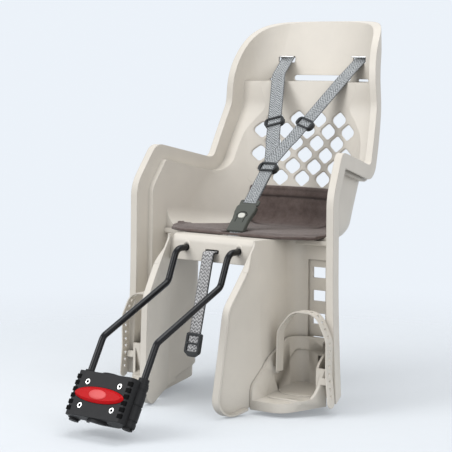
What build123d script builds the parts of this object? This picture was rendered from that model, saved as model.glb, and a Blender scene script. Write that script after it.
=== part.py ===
from build123d import *
import math
import os

# Rear-mounted child bicycle seat. Millimetres, +Z up, the child faces -Y, +X is on the child's left hand.
# The origin is the middle of the clamp on the bicycle's seat tube. The seat's own sizes are measured
# from the middle of the two fork holes in its front lip.

# Where the seat stands over the clamp
hole_y = 303.0
hole_z = 230.0
hole_half_gap = 59.0

# Shell: walls and envelope
wall = 4.0
wing_half = 215.0
wing_front = 45.0
wing_taper = 0.2
wing_flare_low = 12.0
wing_draw_high = 27.0
wing_mid_z = 73.0
low_z = -330.0
high_z = 450.0
front_far = -230.0
rear_far = 600.0
back_y = 326.0
back_lean = 0.2
back_sag = 30.0
corner_radius = 75.0
inner_corner_radius = 55.0
inner_corner_swell = 80.0
step_side = 11.0
step_back = 38.0
rim_out = 11.0
rim_band = 28.0
return_depth = 27.0
ledge_z = 298.0
wing_rake = 5.0
span = 320.0
joint_y = 110.0

# Shell: side outline of the rim
arm_front_z = 104.0
arm_top_y = 93.0
arm_top_z = 181.5
notch_y = 240.0
notch_z = 146.0
head_y = 284.0
head_z = 254.0
top_z = 417.0
rim_radii = [80.0, 22.0, 14.0, 45.0, 130.0]

# Shell: pan, lip and leg guards
pan_z = 22.0
pan_slope = 3.0
pan_blend = 38.0
lip_drop = 24.0
lip_round = 14.0
guard_half_top = 97.8
guard_half_low = 112.0
guard_splay = 0.05
guard_brow_splay = 0.07
guard_toe_splay = 0.32
guard_low_z = -290.0
guard_back_y = 108.0
guard_corner = 28.0
guard_top_z = 60.0
guard_lip = 10.0
guard_brow_y = -8.0
guard_brow_z = 15.0
guard_radii = [15.0, 60.0, 34.0, 2.0, 2.0]
guard_knee_y = -88.0
guard_knee_z = -92.0
guard_lip_end_y = -42.0
guard_toe_y = -113.0
guard_toe_z = -298.0
guard_notch_y = 25.0
guard_notch_z = -264.0
guard_notch_rise = 7.0
guard_heel_z = -236.0
wing_low_front_z = -266.0
wing_low_rear_z = -238.0

# Shell: openings
rod_diameter = 12.0
rod_hole = 13.0
strap_width = 30.0
narrow_width = 25.0
strap_thick = 1.6
lip_slot_width = 31.0
lip_slot_height = 7.0
diamond_wide = 24.0
diamond_tall = 18.8
diamond_radius = 9.0
diamond_pitch = 49.7
diamond_row = 23.1
diamond_rows = 6
lattice_low_z = 109.0
belt_slot_x = 85.0
belt_slot_z = 341.0
belt_slot_width = 34.0
belt_slot_height = 12.5
handle_width = 134.0
handle_height = 11.0
handle_slit_width = 30.0
handle_slit_height = 4.5
handle_slit_x = 101.0
window_x = 158.0
window_width = 27.0
window_height = 20.0
window_pitch = 43.0
window_count = 4
window_top_z = -34.0
track_width = 42.0
track_depth = 5.0
track_top_z = -20.0
diamond_count = 5
lattice_reach = 70.0
belt_slot_round = 3.0
handle_lift = 1.0
lip_slot_round = 2.5


# Fork
rod_knee = 113.4
rod_shoulder_y = -60.0
rod_shoulder_z = -59.0
rod_brow_y = -34.0
rod_brow_z = -1.0
rod_bend = 20.0
rod_end = -30.0
rod_tail_y = 130.0
rod_tail_bend = 34.0

# Clamp block on the seat tube
tube_lean = 31.03
tube_radius = 15.9
pad_thick = 2.5
pad_height = 70.0
pad_half_angle = 72.0
block_half = 62.0
block_height = 80.0
block_front = 28.0
block_gap = 1.5
sleeve_radius = 11.0
collar_radius = 9.5
collar_height = 8.0
socket_clearance = 0.1
jaw_half = 47.0
jaw_height = 74.0
jaw_depth = 27.0
screw_x = 35.0
screw_z = 21.6
screw_diameter = 6.0
screw_head = 10.0
screw_head_height = 6.0
nut_across = 10.0
nut_height = 5.0
hole_clearance = 0.2
button_length = 106.0
button_height = 28.0
button_rise = 5.0
button_bead = 1.0
button_bevel = 4.0
button_thick = 2.0
button_pocket = 7.0
button_clearance = 0.4
tooth_count = 6
tooth_pitch = 11.5
tooth_height = 7.0
tooth_width = 9.0
tooth_depth = 4.0
latch_in = 27.0
latch_tip = 54.3
latch_height = 9.0
latch_front = 9.0
latch_rear = 2.2
latch_ratio = 0.65
latch_clearance = 0.4
spring_leaf = 0.5
spring_width = 6.0
spring_bend = 1.0
spring_half = 5.0
spring_play = 0.1

# Harness
harness_join_y = 186.0
harness_join_z = 146.0
ledge_strap_x = 78.0
ledge_strap_y = 329.0
ledge_strap_z = 311.0
layer_gap = 0.3
adjuster_along = 0.45
adjuster_width = 41.0
adjuster_height = 21.0
adjuster_window = 13.0
adjuster_cover = 2.6
adjuster_bar = 4.5
lower_adjuster_drop = 12.0
buckle_low_y = 68.0
buckle_low_z = 24.0
buckle_lean = 46.0
buckle_length = 64.0
buckle_width = 44.0
buckle_waist = 37.0
buckle_thick = 10.0
buckle_button_length = 15.0
buckle_button_width = 11.0
buckle_button_depth = 6.0
buckle_button_at = 36.0
tongue_width = 30.0
tongue_thick = 3.0
tongue_depth = 20.0
anchor_length = 41.0
anchor_width = 9.0
anchor_thick = 4.0

# Cushion
cushion_gap = 0.4
cushion_thick = 7.0
cushion_top_z = 95.0
cushion_front_y = 45.0
cushion_half = 172.0
cushion_tip_y = 126.0

# Safety strap
safety_drop_y = -63.0
safety_drop_z = -170.0

# Foot rests
foot_gap = 0.8
foot_floor = 4.0
foot_skirt = 17.0
foot_toe_y = -30.0
foot_toe_z = -264.0
foot_heel_z = -247.0
foot_back_z = -163.0
foot_travel = 129.0
foot_strap_width = 21.0
foot_strap_thick = 2.4
foot_strap_y = 29.0
foot_strap_top_z = -103.0
block_edge = 8.0
tooth_margin = 2.0
latch_room = 21.0
leg_in = 27.0
leg_out = 45.0
leg_half = 2.6
leg_tip = 39.6
leg_dip = 1.0
leg_play = 3.6
jaw_ear = 12.0
jaw_round = 6.0
screw_sunk = 1.0
screw_key = 5.0
screw_key_depth = 3.0
nut_clearance = 0.1
belt_slot_y = 371.0
tongue_out = 6.0
anchor_back = 11.0
anchor_tail = 8.0
anchor_round = 2.0
anchor_clearance = 0.3
adjuster_clearance = 0.3
adjuster_round = 9.0
buckle_foot_width = 38.0
buckle_round = 8.0
buckle_bow = 14.0
buckle_waist_at = 28.0
buckle_shoulder_at = 48.0
buckle_edge = 2.5
tongue_clearance = 0.3
tongue_round = 3.0
tongue_head = 43.0
tongue_window = 7.0
crotch_seat = 10.0
crotch_bend = 3.0
crotch_slot_y = 58.0
crotch_tail = 16.0
crotch_radius = 4.0
buckle_button_rise = 1.0
buckle_button_thick = 3.4
lip_slot_z = -5.0
lip_slot_in = 8.0
safety_out = 8.0
safety_bend = 5.0
lock_cover = 3.0
lock_grip = 22.0
lock_length = 44.0
lock_width = 33.0
lock_round = 6.0
lock_window = 8.0
bridge_half = 76.0
bridge_y = 64.0
bridge_depth = 28.0
bridge_low_z = -14.0
bridge_wall = 6.0
bridge_arch = 8.0
bridge_screw = 5.0
bridge_screw_head = 9.0
bridge_screw_cap = 3.0
bridge_screw_short = 0.5
bridge_screw_x = 30.0
cushion_top_half = 108.0
cushion_top_y = 246.0
cushion_corner = 78.0
crotch_slot_width = 31.0
crotch_slot_length = 15.0
cushion_hole_y = 66.0
cushion_hole_width = 43.0
cushion_hole_length = 34.0
foot_wall = 5.0
foot_round = 30.0
foot_brow_y = -29.0
foot_brow_z = -238.0
foot_arm_y = 12.0
foot_arm_z = -195.0
foot_wall_y = 72.0
foot_bow_x = 172.0
foot_bow = 45.0
foot_hook_x = 222.0
foot_hook_y = 39.0
foot_open_y = 17.0
foot_cup_wall = 2.5
foot_cup_z = -188.0
foot_cup_y = 92.0
foot_cup_knee_y = 45.0
foot_cup_knee_z = -240.0
foot_cup_front_y = 36.0
foot_cup_depth = 1.5
foot_rib_x = 170.0
foot_rib_y = -3.0
foot_rib_length = 62.0
foot_rib_width = 6.0
foot_rib_rise = 2.5
foot_slot_x = 166.0
foot_slot_z = -204.0
foot_slot_width = 8.0
foot_slot_height = 15.0
foot_lug_drop = 20.0
foot_lug_width = 34.0
foot_lug_height = 24.0
foot_lug_play = 0.5
foot_ear = 11.0
foot_ear_z = -232.0
foot_ear_height = 12.0
foot_peg_x = 126.0
foot_peg_z = -221.0
foot_strap_end_z = -217.0
foot_strap_rise_x = 129.0
foot_strap_rise_z = -140.0
foot_strap_top_x = 160.0
foot_strap_brow_x = 210.0
foot_strap_out_x = 233.0
foot_strap_out_z = -150.0
foot_strap_low_z = -212.0
foot_strap_tail_x = 239.0
foot_strap_tail_z = -272.0
foot_strap_gap = 0.2
foot_strap_bends = [40.0, 34.0, 34.0, 30.0, 20.0]
brow_depth = 7.0
brow_height = 10.0
brow_round = 3.0
section_z = [low_z, -110.0, wing_mid_z, 150.0, 260.0, high_z]
section_swell = [1.0, 1.0, 1.0, 0.15, 0.0, 0.0]


# Worked out from the sizes above
pan_rise = wall
bridge_mid = bridge_y + bridge_depth / 2
bridge_spots = [(bridge_screw_x, bridge_mid), (-bridge_screw_x, bridge_mid)]


def plan(z):
    return Plane(origin=(0, hole_y, hole_z + z), x_dir=(1, 0, 0), z_dir=(0, 0, 1))


def side(x):
    return Plane(origin=(x, hole_y, hole_z), x_dir=(0, 1, 0), z_dir=(1, 0, 0))


def front(y):
    return Plane(origin=(0, hole_y + y, hole_z), x_dir=(1, 0, 0), z_dir=(0, -1, 0))


def pan_plane(lift):
    tilt = math.radians(pan_slope)
    return Plane(
        origin=(0, hole_y, hole_z + pan_z + lift),
        x_dir=(1, 0, 0),
        z_dir=(0, math.sin(tilt), math.cos(tilt)),
    )


def wing_x(y, z):
    if z > wing_mid_z:
        bow = -wing_draw_high * ((z - wing_mid_z) / (high_z - wing_mid_z)) ** 2
    else:
        bow = wing_flare_low * ((wing_mid_z - z) / (wing_mid_z - low_z)) ** 2
    return wing_half - wing_taper * (y - wing_front) + bow


def envelope(side_grow, back_grow, radius, swell=0.0):
    """U-shaped space inside the wings and the back, its rear corners rounder low down by swell."""
    with BuildPart() as space:
        for z, share in zip(section_z, section_swell):
            rear = back_y + back_grow + back_lean * (z - wing_mid_z)
            corner = rear - back_sag
            x_front = wing_x(front_far, z) + side_grow
            x_rear = wing_x(corner, z) + side_grow
            with BuildSketch(plan(z)) as section:
                with BuildLine():
                    Polyline(
                        (-x_rear, corner),
                        (-x_front, front_far),
                        (x_front, front_far),
                        (x_rear, corner),
                    )
                    ThreePointArc((x_rear, corner), (0, rear), (-x_rear, corner))
                make_face()
                fillet(section.vertices().sort_by(Axis.Y)[-2:], radius + share * swell)
        loft()
    return space.part


def rim_prism(inset):
    """Everything behind and below the rim's side outline, moved inwards by inset."""
    with BuildPart() as prism:
        with BuildSketch(side(-span)) as outline:
            with BuildLine():
                edge = FilletPolyline(
                    (wing_front - wing_rake, low_z),
                    (wing_front, arm_front_z),
                    (arm_top_y, arm_top_z),
                    (notch_y, notch_z),
                    (head_y, head_z),
                    (head_y, top_z),
                    (rear_far, top_z),
                    radius=rim_radii,
                )
                Polyline(edge @ 1, (rear_far, low_z), edge @ 0)
            make_face()
            if inset > 0:
                offset(amount=-inset, mode=Mode.REPLACE)
        extrude(amount=2 * span)
    return prism.part


def below(prism, z):
    """The part of a prism under a level."""
    with BuildPart() as lower:
        add(prism)
        split(bisect_by=plan(z), keep=Keep.BOTTOM)
    return lower.part


def pan_space(side_grow, back_grow, radius, lift, blend):
    """An envelope closed below by the pan, with a rounded edge all round."""
    with BuildPart() as space:
        add(envelope(side_grow, back_grow, radius, inner_corner_swell))
        split(bisect_by=pan_plane(lift), keep=Keep.TOP)
        floor = space.faces().sort_by(Axis.Z)[0]
        fillet(floor.edges().sort_by(Axis.Y)[1:], blend)
    return space.part



def cut(solid, *tools):
    """A solid with other solids taken away."""
    with BuildPart() as result:
        add(solid)
        for tool in tools:
            add(tool, mode=Mode.SUBTRACT)
    return result.part


def common(solid, *tools):
    """What several solids share."""
    with BuildPart() as result:
        add(solid)
        for tool in tools:
            add(tool, mode=Mode.INTERSECT)
    return result.part


def guard_x(y, z):
    """Leg side of a guard's inner wall, which toes in towards its foot."""
    share = (guard_top_z - z) / (guard_top_z - guard_low_z)
    high = guard_half_top + y * (guard_brow_splay if y < 0 else guard_splay)
    low = guard_half_low + y * (guard_toe_splay if y < 0 else guard_splay)
    return (1 - share) * high + share * low


def guard_prism(inset):
    """Side outline of a leg guard's inner wall, extruded across the seat."""
    with BuildPart() as prism:
        with BuildSketch(side(-span)):
            with BuildLine():
                edge = FilletPolyline(
                    (guard_brow_y, guard_top_z),
                    (guard_brow_y, guard_brow_z),
                    (guard_knee_y, guard_knee_z),
                    (guard_toe_y, guard_toe_z),
                    (guard_notch_y, guard_notch_z),
                    (guard_notch_y, guard_notch_z + guard_notch_rise),
                    (guard_back_y + wall, guard_heel_z),
                    radius=guard_radii,
                )
                Polyline(edge @ 1, (guard_back_y + wall, guard_top_z), edge @ 0)
            make_face()
            if inset > 0:
                offset(amount=-inset, mode=Mode.REPLACE)
        extrude(amount=2 * span)
    return prism.part


def guard_wall():
    """Inner wall and rear wall of the left-hand leg guard, an L in plan."""
    with BuildPart() as panel:
        for z in (guard_top_z, low_z):
            toe_x = guard_x(front_far, z)
            bend_x = guard_x(0, z)
            rear_x = guard_x(guard_back_y, z)
            with BuildSketch(plan(z)) as section:
                with BuildLine():
                    Polyline(
                        (toe_x - wall, front_far),
                        (toe_x, front_far),
                        (bend_x, 0),
                        (rear_x, guard_back_y),
                        (span, guard_back_y),
                        (span, guard_back_y + wall),
                        (rear_x - wall, guard_back_y + wall),
                        (bend_x - wall, 0),
                        close=True,
                    )
                make_face()
                inside = section.vertices().sort_by_distance((rear_x, guard_back_y, 0))[0]
                fillet(inside, guard_corner)
                outside = section.vertices().group_by(Axis.Y)[-1].sort_by(Axis.X)[0]
                fillet(outside, guard_corner + wall)
        loft(ruled=True)
    return panel.part


def guard_edge():
    """Slab that holds the turned lip along the front and foot of the inner wall."""
    with BuildPart() as slab:
        for z in (guard_top_z, low_z):
            toe_x = guard_x(front_far, z)
            end_x = guard_x(guard_lip_end_y, z)
            with BuildSketch(plan(z)):
                with BuildLine():
                    Polyline(
                        (toe_x - wall / 2, front_far),
                        (toe_x + guard_lip, front_far),
                        (end_x + guard_lip, guard_lip_end_y),
                        (end_x - wall / 2, guard_lip_end_y),
                        close=True,
                    )
                make_face()
        loft()
    return slab.part


def pan_top(y):
    return pan_z - y * math.tan(math.radians(pan_slope))


def lip_rear(z):
    """Rear face of the front lip at a level."""
    share = (z + lip_drop) / (pan_top(wall) - wall + lip_drop)
    return guard_brow_y + wall - guard_brow_y * share


os.makedirs("parts", exist_ok=True)


def ahead(solid, keep):
    """One side of a solid, cut where the pan's rear part meets the leg guards."""
    with BuildPart() as half:
        add(solid)
        split(bisect_by=front(joint_y), keep=keep)
    return half.part


def lattice():
    """Rounded diamonds in staggered rows, long enough to pass through the back."""
    with BuildPart() as holes:
        with BuildSketch(front(back_y + back_sag)) as diamonds:
            for row in range(diamond_rows):
                count = diamond_count - row % 2
                with Locations((0, lattice_low_z + row * diamond_row)):
                    with GridLocations(diamond_pitch, diamond_row, count, 1):
                        Polygon(
                            (diamond_wide, 0),
                            (0, diamond_tall),
                            (-diamond_wide, 0),
                            (0, -diamond_tall),
                        )
            fillet(diamonds.vertices(), diamond_radius)
        extrude(amount=lattice_reach)
    return holes.part


def head_slots():
    """Belt slots and the grip opening in the wall above the ledge."""
    with BuildPart() as holes:
        with BuildSketch(front(back_y + lattice_reach)):
            with Locations((belt_slot_x, belt_slot_z), (-belt_slot_x, belt_slot_z)):
                RectangleRounded(belt_slot_width, belt_slot_height, belt_slot_round)
            with Locations((0, ledge_z + handle_lift + handle_height / 2)):
                SlotOverall(handle_width, handle_height)
            slit_z = ledge_z + handle_lift + handle_slit_height / 2
            with Locations((handle_slit_x, slit_z), (-handle_slit_x, slit_z)):
                SlotOverall(handle_slit_width, handle_slit_height)
        extrude(amount=lattice_reach)
    return holes.part


rim = rim_prism(0)
band_prism = below(rim_prism(rim_band), ledge_z)
band_prism_less = below(rim_prism(rim_band + wall), ledge_z - wall)
main_in = envelope(-step_side, -step_back, inner_corner_radius)
main_mid = envelope(wall / 2 - step_side, wall / 2 - step_back, inner_corner_radius + wall / 2)
main_out = envelope(wall - step_side, wall - step_back, inner_corner_radius + wall)
rim_inner = envelope(0, 0, corner_radius)
rim_outer = envelope(wall, wall, corner_radius + wall)
flange_in = envelope(rim_out, rim_out, corner_radius + rim_out)
flange_out = envelope(rim_out + wall, rim_out + wall, corner_radius + rim_out + wall)
pan_in = pan_space(-step_side, -step_back, inner_corner_radius, 0, pan_blend)
pan_out = pan_space(
    wall - step_side, wall - step_back, inner_corner_radius + wall, -wall, pan_blend + wall
)

# The rim: an outer wall with a flange turned out and back round its edge
rim_pocket = cut(common(rim_prism(wall), flange_in), rim_outer)
rim_beyond = cut(rim_prism(return_depth), rim_outer)
rim_block = cut(common(flange_out, rim), rim_pocket, rim_beyond)
rim_block = cut(rim_block, cut(rim_inner, band_prism))

with BuildPart() as low:
    with BuildSketch(side(-span)):
        with BuildLine():
            Polyline(
                (front_far, wing_low_front_z),
                (wing_front, wing_low_front_z),
                (guard_back_y + wall, wing_low_rear_z),
                (rear_far, wing_low_rear_z),
                (rear_far, low_z - wall),
                (front_far, low_z - wall),
                close=True,
            )
        make_face()
    extrude(amount=2 * span)

# Behind the leg guards the wings and the back close on the pan, ahead of them the wings run down
rear = cut(ahead(rim_block, Keep.BOTTOM), cut(band_prism_less, pan_out), pan_in, low.part)
rear = cut(rear, lattice(), head_slots())
fore = cut(ahead(rim_block, Keep.TOP), cut(band_prism_less, main_out), main_in, low.part)

with BuildPart() as guard_holes:
    with BuildSketch(front(guard_back_y + track_depth)):
        with Locations((window_x, (track_top_z + low_z) / 2)):
            Rectangle(track_width, track_top_z - low_z)
    extrude(amount=track_depth)
    with BuildSketch(front(guard_back_y + track_depth + 2 * wall)):
        for step in range(window_count):
            with Locations((window_x, window_top_z - window_height / 2 - step * window_pitch)):
                Rectangle(window_width, window_height)
    extrude(amount=2 * wall + track_depth)

# The track stands proud behind the rear wall
with BuildPart() as track_box:
    with BuildSketch(front(guard_back_y + track_depth + wall)):
        with Locations((window_x, (track_top_z + wall + guard_heel_z) / 2)):
            Rectangle(track_width + 2 * wall, track_top_z + wall - guard_heel_z)
    extrude(amount=track_depth + wall / 2)

# A rounded nose over the leg space, where the pan begins
with BuildPart() as brow:
    with BuildSketch(side(guard_half_top)) as nose:
        with BuildLine():
            Polyline(
                (guard_back_y + wall / 2, pan_top(guard_back_y)),
                (guard_back_y - brow_depth, pan_top(guard_back_y)),
                (guard_back_y - brow_depth, pan_top(guard_back_y) - brow_height),
                (guard_back_y + wall / 2, pan_top(guard_back_y) - brow_height),
                close=True,
            )
        make_face()
        fillet(nose.vertices().group_by(Axis.Y)[0], brow_round)
    extrude(amount=span)

guard_side = guard_prism(0)
guard = common(guard_wall(), guard_side)
with BuildPart() as guard_back:
    add(guard)
    add(track_box.part)
    add(brow.part)
guard = cut(common(guard_back.part, main_mid), pan_in, guard_holes.part)
guard_lip_edge = cut(common(guard_edge(), cut(guard_side, guard_prism(wall))), pan_in)

tongue_rear = guard_back_y + wall
with BuildPart() as tongue:
    with BuildSketch(side(wall / 2 - guard_half_top)):
        with BuildLine():
            upper = FilletPolyline(
                (tongue_rear, pan_top(tongue_rear)),
                (0, pan_top(0)),
                (guard_brow_y, -lip_drop),
                radius=lip_round,
            )
            lower = FilletPolyline(
                (guard_brow_y + wall, -lip_drop),
                (wall, pan_top(wall) - wall),
                (tongue_rear, pan_top(tongue_rear) - wall),
                radius=lip_round - wall,
            )
            Line(upper @ 1, lower @ 0)
            Line(lower @ 1, upper @ 0)
        make_face()
    extrude(amount=2 * guard_half_top - wall)
    with BuildSketch(front(lip_drop)):
        with Locations((hole_half_gap, rod_brow_z), (-hole_half_gap, rod_brow_z)):
            Circle(rod_hole / 2)
        with Locations((0, lip_slot_z)):
            RectangleRounded(lip_slot_width, lip_slot_height, lip_slot_round)
    extrude(amount=2 * lip_drop, mode=Mode.SUBTRACT)
    with BuildSketch(plan(0)):
        with Locations((0, crotch_slot_y)):
            Rectangle(crotch_slot_width, crotch_slot_length)
        with Locations(*bridge_spots):
            Circle(bridge_screw / 2 + hole_clearance)
    extrude(amount=2 * pan_z, mode=Mode.SUBTRACT)

with BuildPart() as seat_shell:
    add(guard)
    add(guard_lip_edge)
    mirror(about=Plane.YZ)
    add(tongue.part)
    add(fore)
    add(rear)
seat_shell.part.label = "seat_shell"
export_step(seat_shell.part, "parts/seat_shell.step")


def tube_plane(along):
    """Plane across the seat tube, local y to the rear, at a height along the tube."""
    lean = math.radians(tube_lean)
    up = Vector(0, math.sin(lean), math.cos(lean))
    return Plane(origin=up * along, x_dir=(1, 0, 0), z_dir=up)


def face_plane(depth):
    """Plane parallel to the block's front face, local y along the tube, at a depth from its axis."""
    lean = math.radians(tube_lean)
    rear = Vector(0, math.cos(lean), -math.sin(lean))
    return Plane(origin=rear * depth, x_dir=(1, 0, 0), z_dir=-rear)


rod_radius = rod_diameter / 2
groove_radius = tube_radius + pad_thick
latch_half = latch_height / 2


def rod_route():
    """Middle line of the fork from one end to the other."""
    half = []
    for along in (rod_end, rod_knee):
        spot = tube_plane(along).origin
        half.append((hole_half_gap, spot.Y, spot.Z))
    half.append((hole_half_gap, hole_y + rod_shoulder_y, hole_z + rod_shoulder_z))
    half.append((hole_half_gap, hole_y + rod_brow_y, hole_z + rod_brow_z))
    half.append((hole_half_gap, hole_y + rod_tail_y, hole_z + rod_brow_z))
    other = [(-x, y, z) for x, y, z in reversed(half)]
    return half + other


with BuildPart() as fork:
    with BuildLine() as route:
        FilletPolyline(*rod_route(), radius=[rod_bend] * 3 + [rod_tail_bend] * 2 + [rod_bend] * 3)
    with BuildSketch(tube_plane(rod_end)):
        with Locations((hole_half_gap, 0)):
            Circle(rod_radius)
    sweep()
    with BuildSketch(tube_plane(-latch_half - latch_clearance)):
        with Locations((hole_half_gap, -rod_radius), (-hole_half_gap, -rod_radius)):
            Rectangle(2 * rod_radius + 1, 2 * (rod_radius - latch_rear + latch_clearance))
    extrude(amount=latch_height + 2 * latch_clearance, mode=Mode.SUBTRACT)
fork.part.label = "fork"
export_step(fork.part, "parts/fork.step")

with BuildPart() as block_housing:
    with BuildSketch(tube_plane(-block_height / 2)) as block_section:
        with BuildLine():
            Polyline(
                (-block_half, -block_gap / 2),
                (-block_half, -block_front),
                (block_half, -block_front),
                (block_half, -block_gap / 2),
                close=True,
            )
        make_face()
        fillet(block_section.vertices().sort_by(Axis.Y)[:2], block_edge)
        with Locations((hole_half_gap, 0), (-hole_half_gap, 0)):
            Circle(sleeve_radius)
    extrude(amount=block_height)
    with BuildSketch(tube_plane(block_height / 2)):
        with Locations((hole_half_gap, 0), (-hole_half_gap, 0)):
            Circle(collar_radius)
    extrude(amount=collar_height)
    with BuildSketch(tube_plane(-block_height / 2)):
        Circle(groove_radius)
    extrude(amount=block_height, mode=Mode.SUBTRACT)
    with BuildSketch(tube_plane(rod_end)):
        with Locations((hole_half_gap, 0), (-hole_half_gap, 0)):
            Circle(rod_radius + socket_clearance)
    extrude(amount=block_height + collar_height, mode=Mode.SUBTRACT)
    with BuildSketch(face_plane(-block_front)):
        Ellipse(button_length / 2 + button_clearance, button_height / 2 + button_clearance)
    extrude(amount=-button_pocket, mode=Mode.SUBTRACT)
    with BuildSketch(face_plane(-block_front)):
        with GridLocations(2 * screw_x, 2 * screw_z, 2, 2):
            Circle(screw_head / 2 + hole_clearance)
    extrude(amount=-screw_head_height, mode=Mode.SUBTRACT)
    with BuildSketch(face_plane(-block_front)):
        with GridLocations(2 * screw_x, 2 * screw_z, 2, 2):
            Circle(screw_diameter / 2 + hole_clearance)
    extrude(amount=-block_front, mode=Mode.SUBTRACT)
    with BuildSketch(face_plane(-block_front)):
        with GridLocations(2 * (block_half - tooth_width / 2 - tooth_margin), tooth_pitch, 2, tooth_count):
            Rectangle(tooth_width, tooth_height)
    extrude(amount=-tooth_depth, mode=Mode.SUBTRACT)
    for hand in (1, -1):
        with BuildSketch(tube_plane(-latch_half - latch_clearance)):
            with BuildLine():
                Polyline(
                    (hand * latch_room, -latch_front - latch_clearance),
                    (hand * hole_half_gap, -latch_front - latch_clearance),
                    (hand * hole_half_gap, -latch_rear + latch_clearance),
                    (hand * latch_room, -latch_rear + latch_clearance),
                    close=True,
                )
            make_face()
        extrude(amount=latch_height + 2 * latch_clearance, mode=Mode.SUBTRACT)
        with BuildSketch(face_plane(-block_front + button_pocket)):
            with Locations((hand * (leg_in + leg_out) / 2, 0)):
                Rectangle(leg_out - leg_in + 2 * button_clearance, 2 * (leg_half + button_clearance))
        extrude(amount=-(block_front - button_pocket - latch_front), mode=Mode.SUBTRACT)
block_housing.part.label = "block_housing"
export_step(block_housing.part, "parts/block_housing.step")

with BuildPart() as block_jaw:
    with BuildSketch(tube_plane(-jaw_height / 2)) as jaw_section:
        with BuildLine():
            Polyline(
                (-jaw_half, block_gap / 2),
                (-jaw_half, jaw_ear),
                (-groove_radius, jaw_depth),
                (groove_radius, jaw_depth),
                (jaw_half, jaw_ear),
                (jaw_half, block_gap / 2),
                close=True,
            )
        make_face()
        fillet(jaw_section.vertices().sort_by(Axis.Y)[-4:], jaw_round)
        Circle(groove_radius, mode=Mode.SUBTRACT)
    extrude(amount=jaw_height)
    with BuildSketch(face_plane(jaw_ear)):
        with GridLocations(2 * screw_x, 2 * screw_z, 2, 2):
            RegularPolygon(nut_across / math.sqrt(3) + hole_clearance, 6)
    extrude(amount=nut_height, mode=Mode.SUBTRACT)
    with BuildSketch(face_plane(jaw_ear)):
        with GridLocations(2 * screw_x, 2 * screw_z, 2, 2):
            Circle(screw_diameter / 2 + hole_clearance)
    extrude(amount=jaw_depth, mode=Mode.SUBTRACT)
    with BuildSketch(face_plane(jaw_depth)):
        with GridLocations(2 * screw_x, 2 * screw_z, 2, 2):
            Circle(nut_across / math.sqrt(3) + hole_clearance)
    extrude(amount=jaw_depth - jaw_ear, mode=Mode.SUBTRACT)
block_jaw.part.label = "block_jaw"
export_step(block_jaw.part, "parts/block_jaw.step")


def jaw_pad(middle):
    """Rubber liner round one side of the seat tube, middle in degrees from the local x axis."""
    first = math.radians(middle - pad_half_angle)
    half = math.radians(middle)
    last = math.radians(middle + pad_half_angle)
    with BuildPart() as pad:
        with BuildSketch(tube_plane(-pad_height / 2)):
            with BuildLine():
                ends = []
                for radius in (tube_radius, groove_radius):
                    turns = (first, half, last)
                    spots = [(radius * math.cos(turn), radius * math.sin(turn)) for turn in turns]
                    ends.append(ThreePointArc(*spots))
                Line(ends[0] @ 0, ends[1] @ 0)
                Line(ends[0] @ 1, ends[1] @ 1)
            make_face()
        extrude(amount=pad_height)
    return pad.part


for pad_name, pad_middle in (("jaw_pad_front", -90), ("jaw_pad_rear", 90)):
    pad_part = jaw_pad(pad_middle)
    pad_part.label = pad_name
    export_step(pad_part, f"parts/{pad_name}.step")

with BuildPart() as clamp_screws:
    with BuildSketch(face_plane(-block_front + screw_sunk)):
        with GridLocations(2 * screw_x, 2 * screw_z, 2, 2):
            Circle(screw_head / 2)
    extrude(amount=-(screw_head_height - screw_sunk))
    with BuildSketch(face_plane(-block_front + screw_head_height)):
        with GridLocations(2 * screw_x, 2 * screw_z, 2, 2):
            Circle(screw_diameter / 2)
    extrude(amount=-(block_front - screw_head_height + jaw_ear))
    with BuildSketch(face_plane(-block_front + screw_sunk)):
        with GridLocations(2 * screw_x, 2 * screw_z, 2, 2):
            RegularPolygon(screw_key / math.sqrt(3), 6)
    extrude(amount=-screw_key_depth, mode=Mode.SUBTRACT)
clamp_screws.part.label = "clamp_screws"
export_step(clamp_screws.part, "parts/clamp_screws.step")

with BuildPart() as clamp_nuts:
    with BuildSketch(face_plane(jaw_ear)):
        with GridLocations(2 * screw_x, 2 * screw_z, 2, 2):
            RegularPolygon(nut_across / math.sqrt(3), 6)
            Circle(screw_diameter / 2 + nut_clearance, mode=Mode.SUBTRACT)
    extrude(amount=nut_height)
clamp_nuts.part.label = "clamp_nuts"
export_step(clamp_nuts.part, "parts/clamp_nuts.step")

with BuildPart() as release_button:
    with BuildSketch(face_plane(-block_front + button_thick)):
        Ellipse(button_length / 2, button_height / 2)
    extrude(amount=button_thick + button_bead)
    for rise, bevel in ((button_bead, 0), (button_rise, button_bevel)):
        with BuildSketch(face_plane(-block_front - rise)):
            Ellipse(button_length / 2 - bevel, button_height / 2 - bevel)
    loft()
    button_floor = -block_front + button_thick
    with BuildSketch(tube_plane(-leg_half)):
        for hand in (1, -1):
            with BuildLine():
                Polyline(
                    (hand * leg_out, button_floor),
                    (hand * leg_out, -latch_front + leg_dip),
                    (hand * leg_tip, -latch_front + leg_dip),
                    (hand * (leg_tip - latch_ratio * (-latch_front + leg_dip - button_floor)), button_floor),
                    close=True,
                )
            make_face()
    extrude(amount=2 * leg_half)
release_button.part.label = "release_button"
export_step(release_button.part, "parts/release_button.step")

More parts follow.
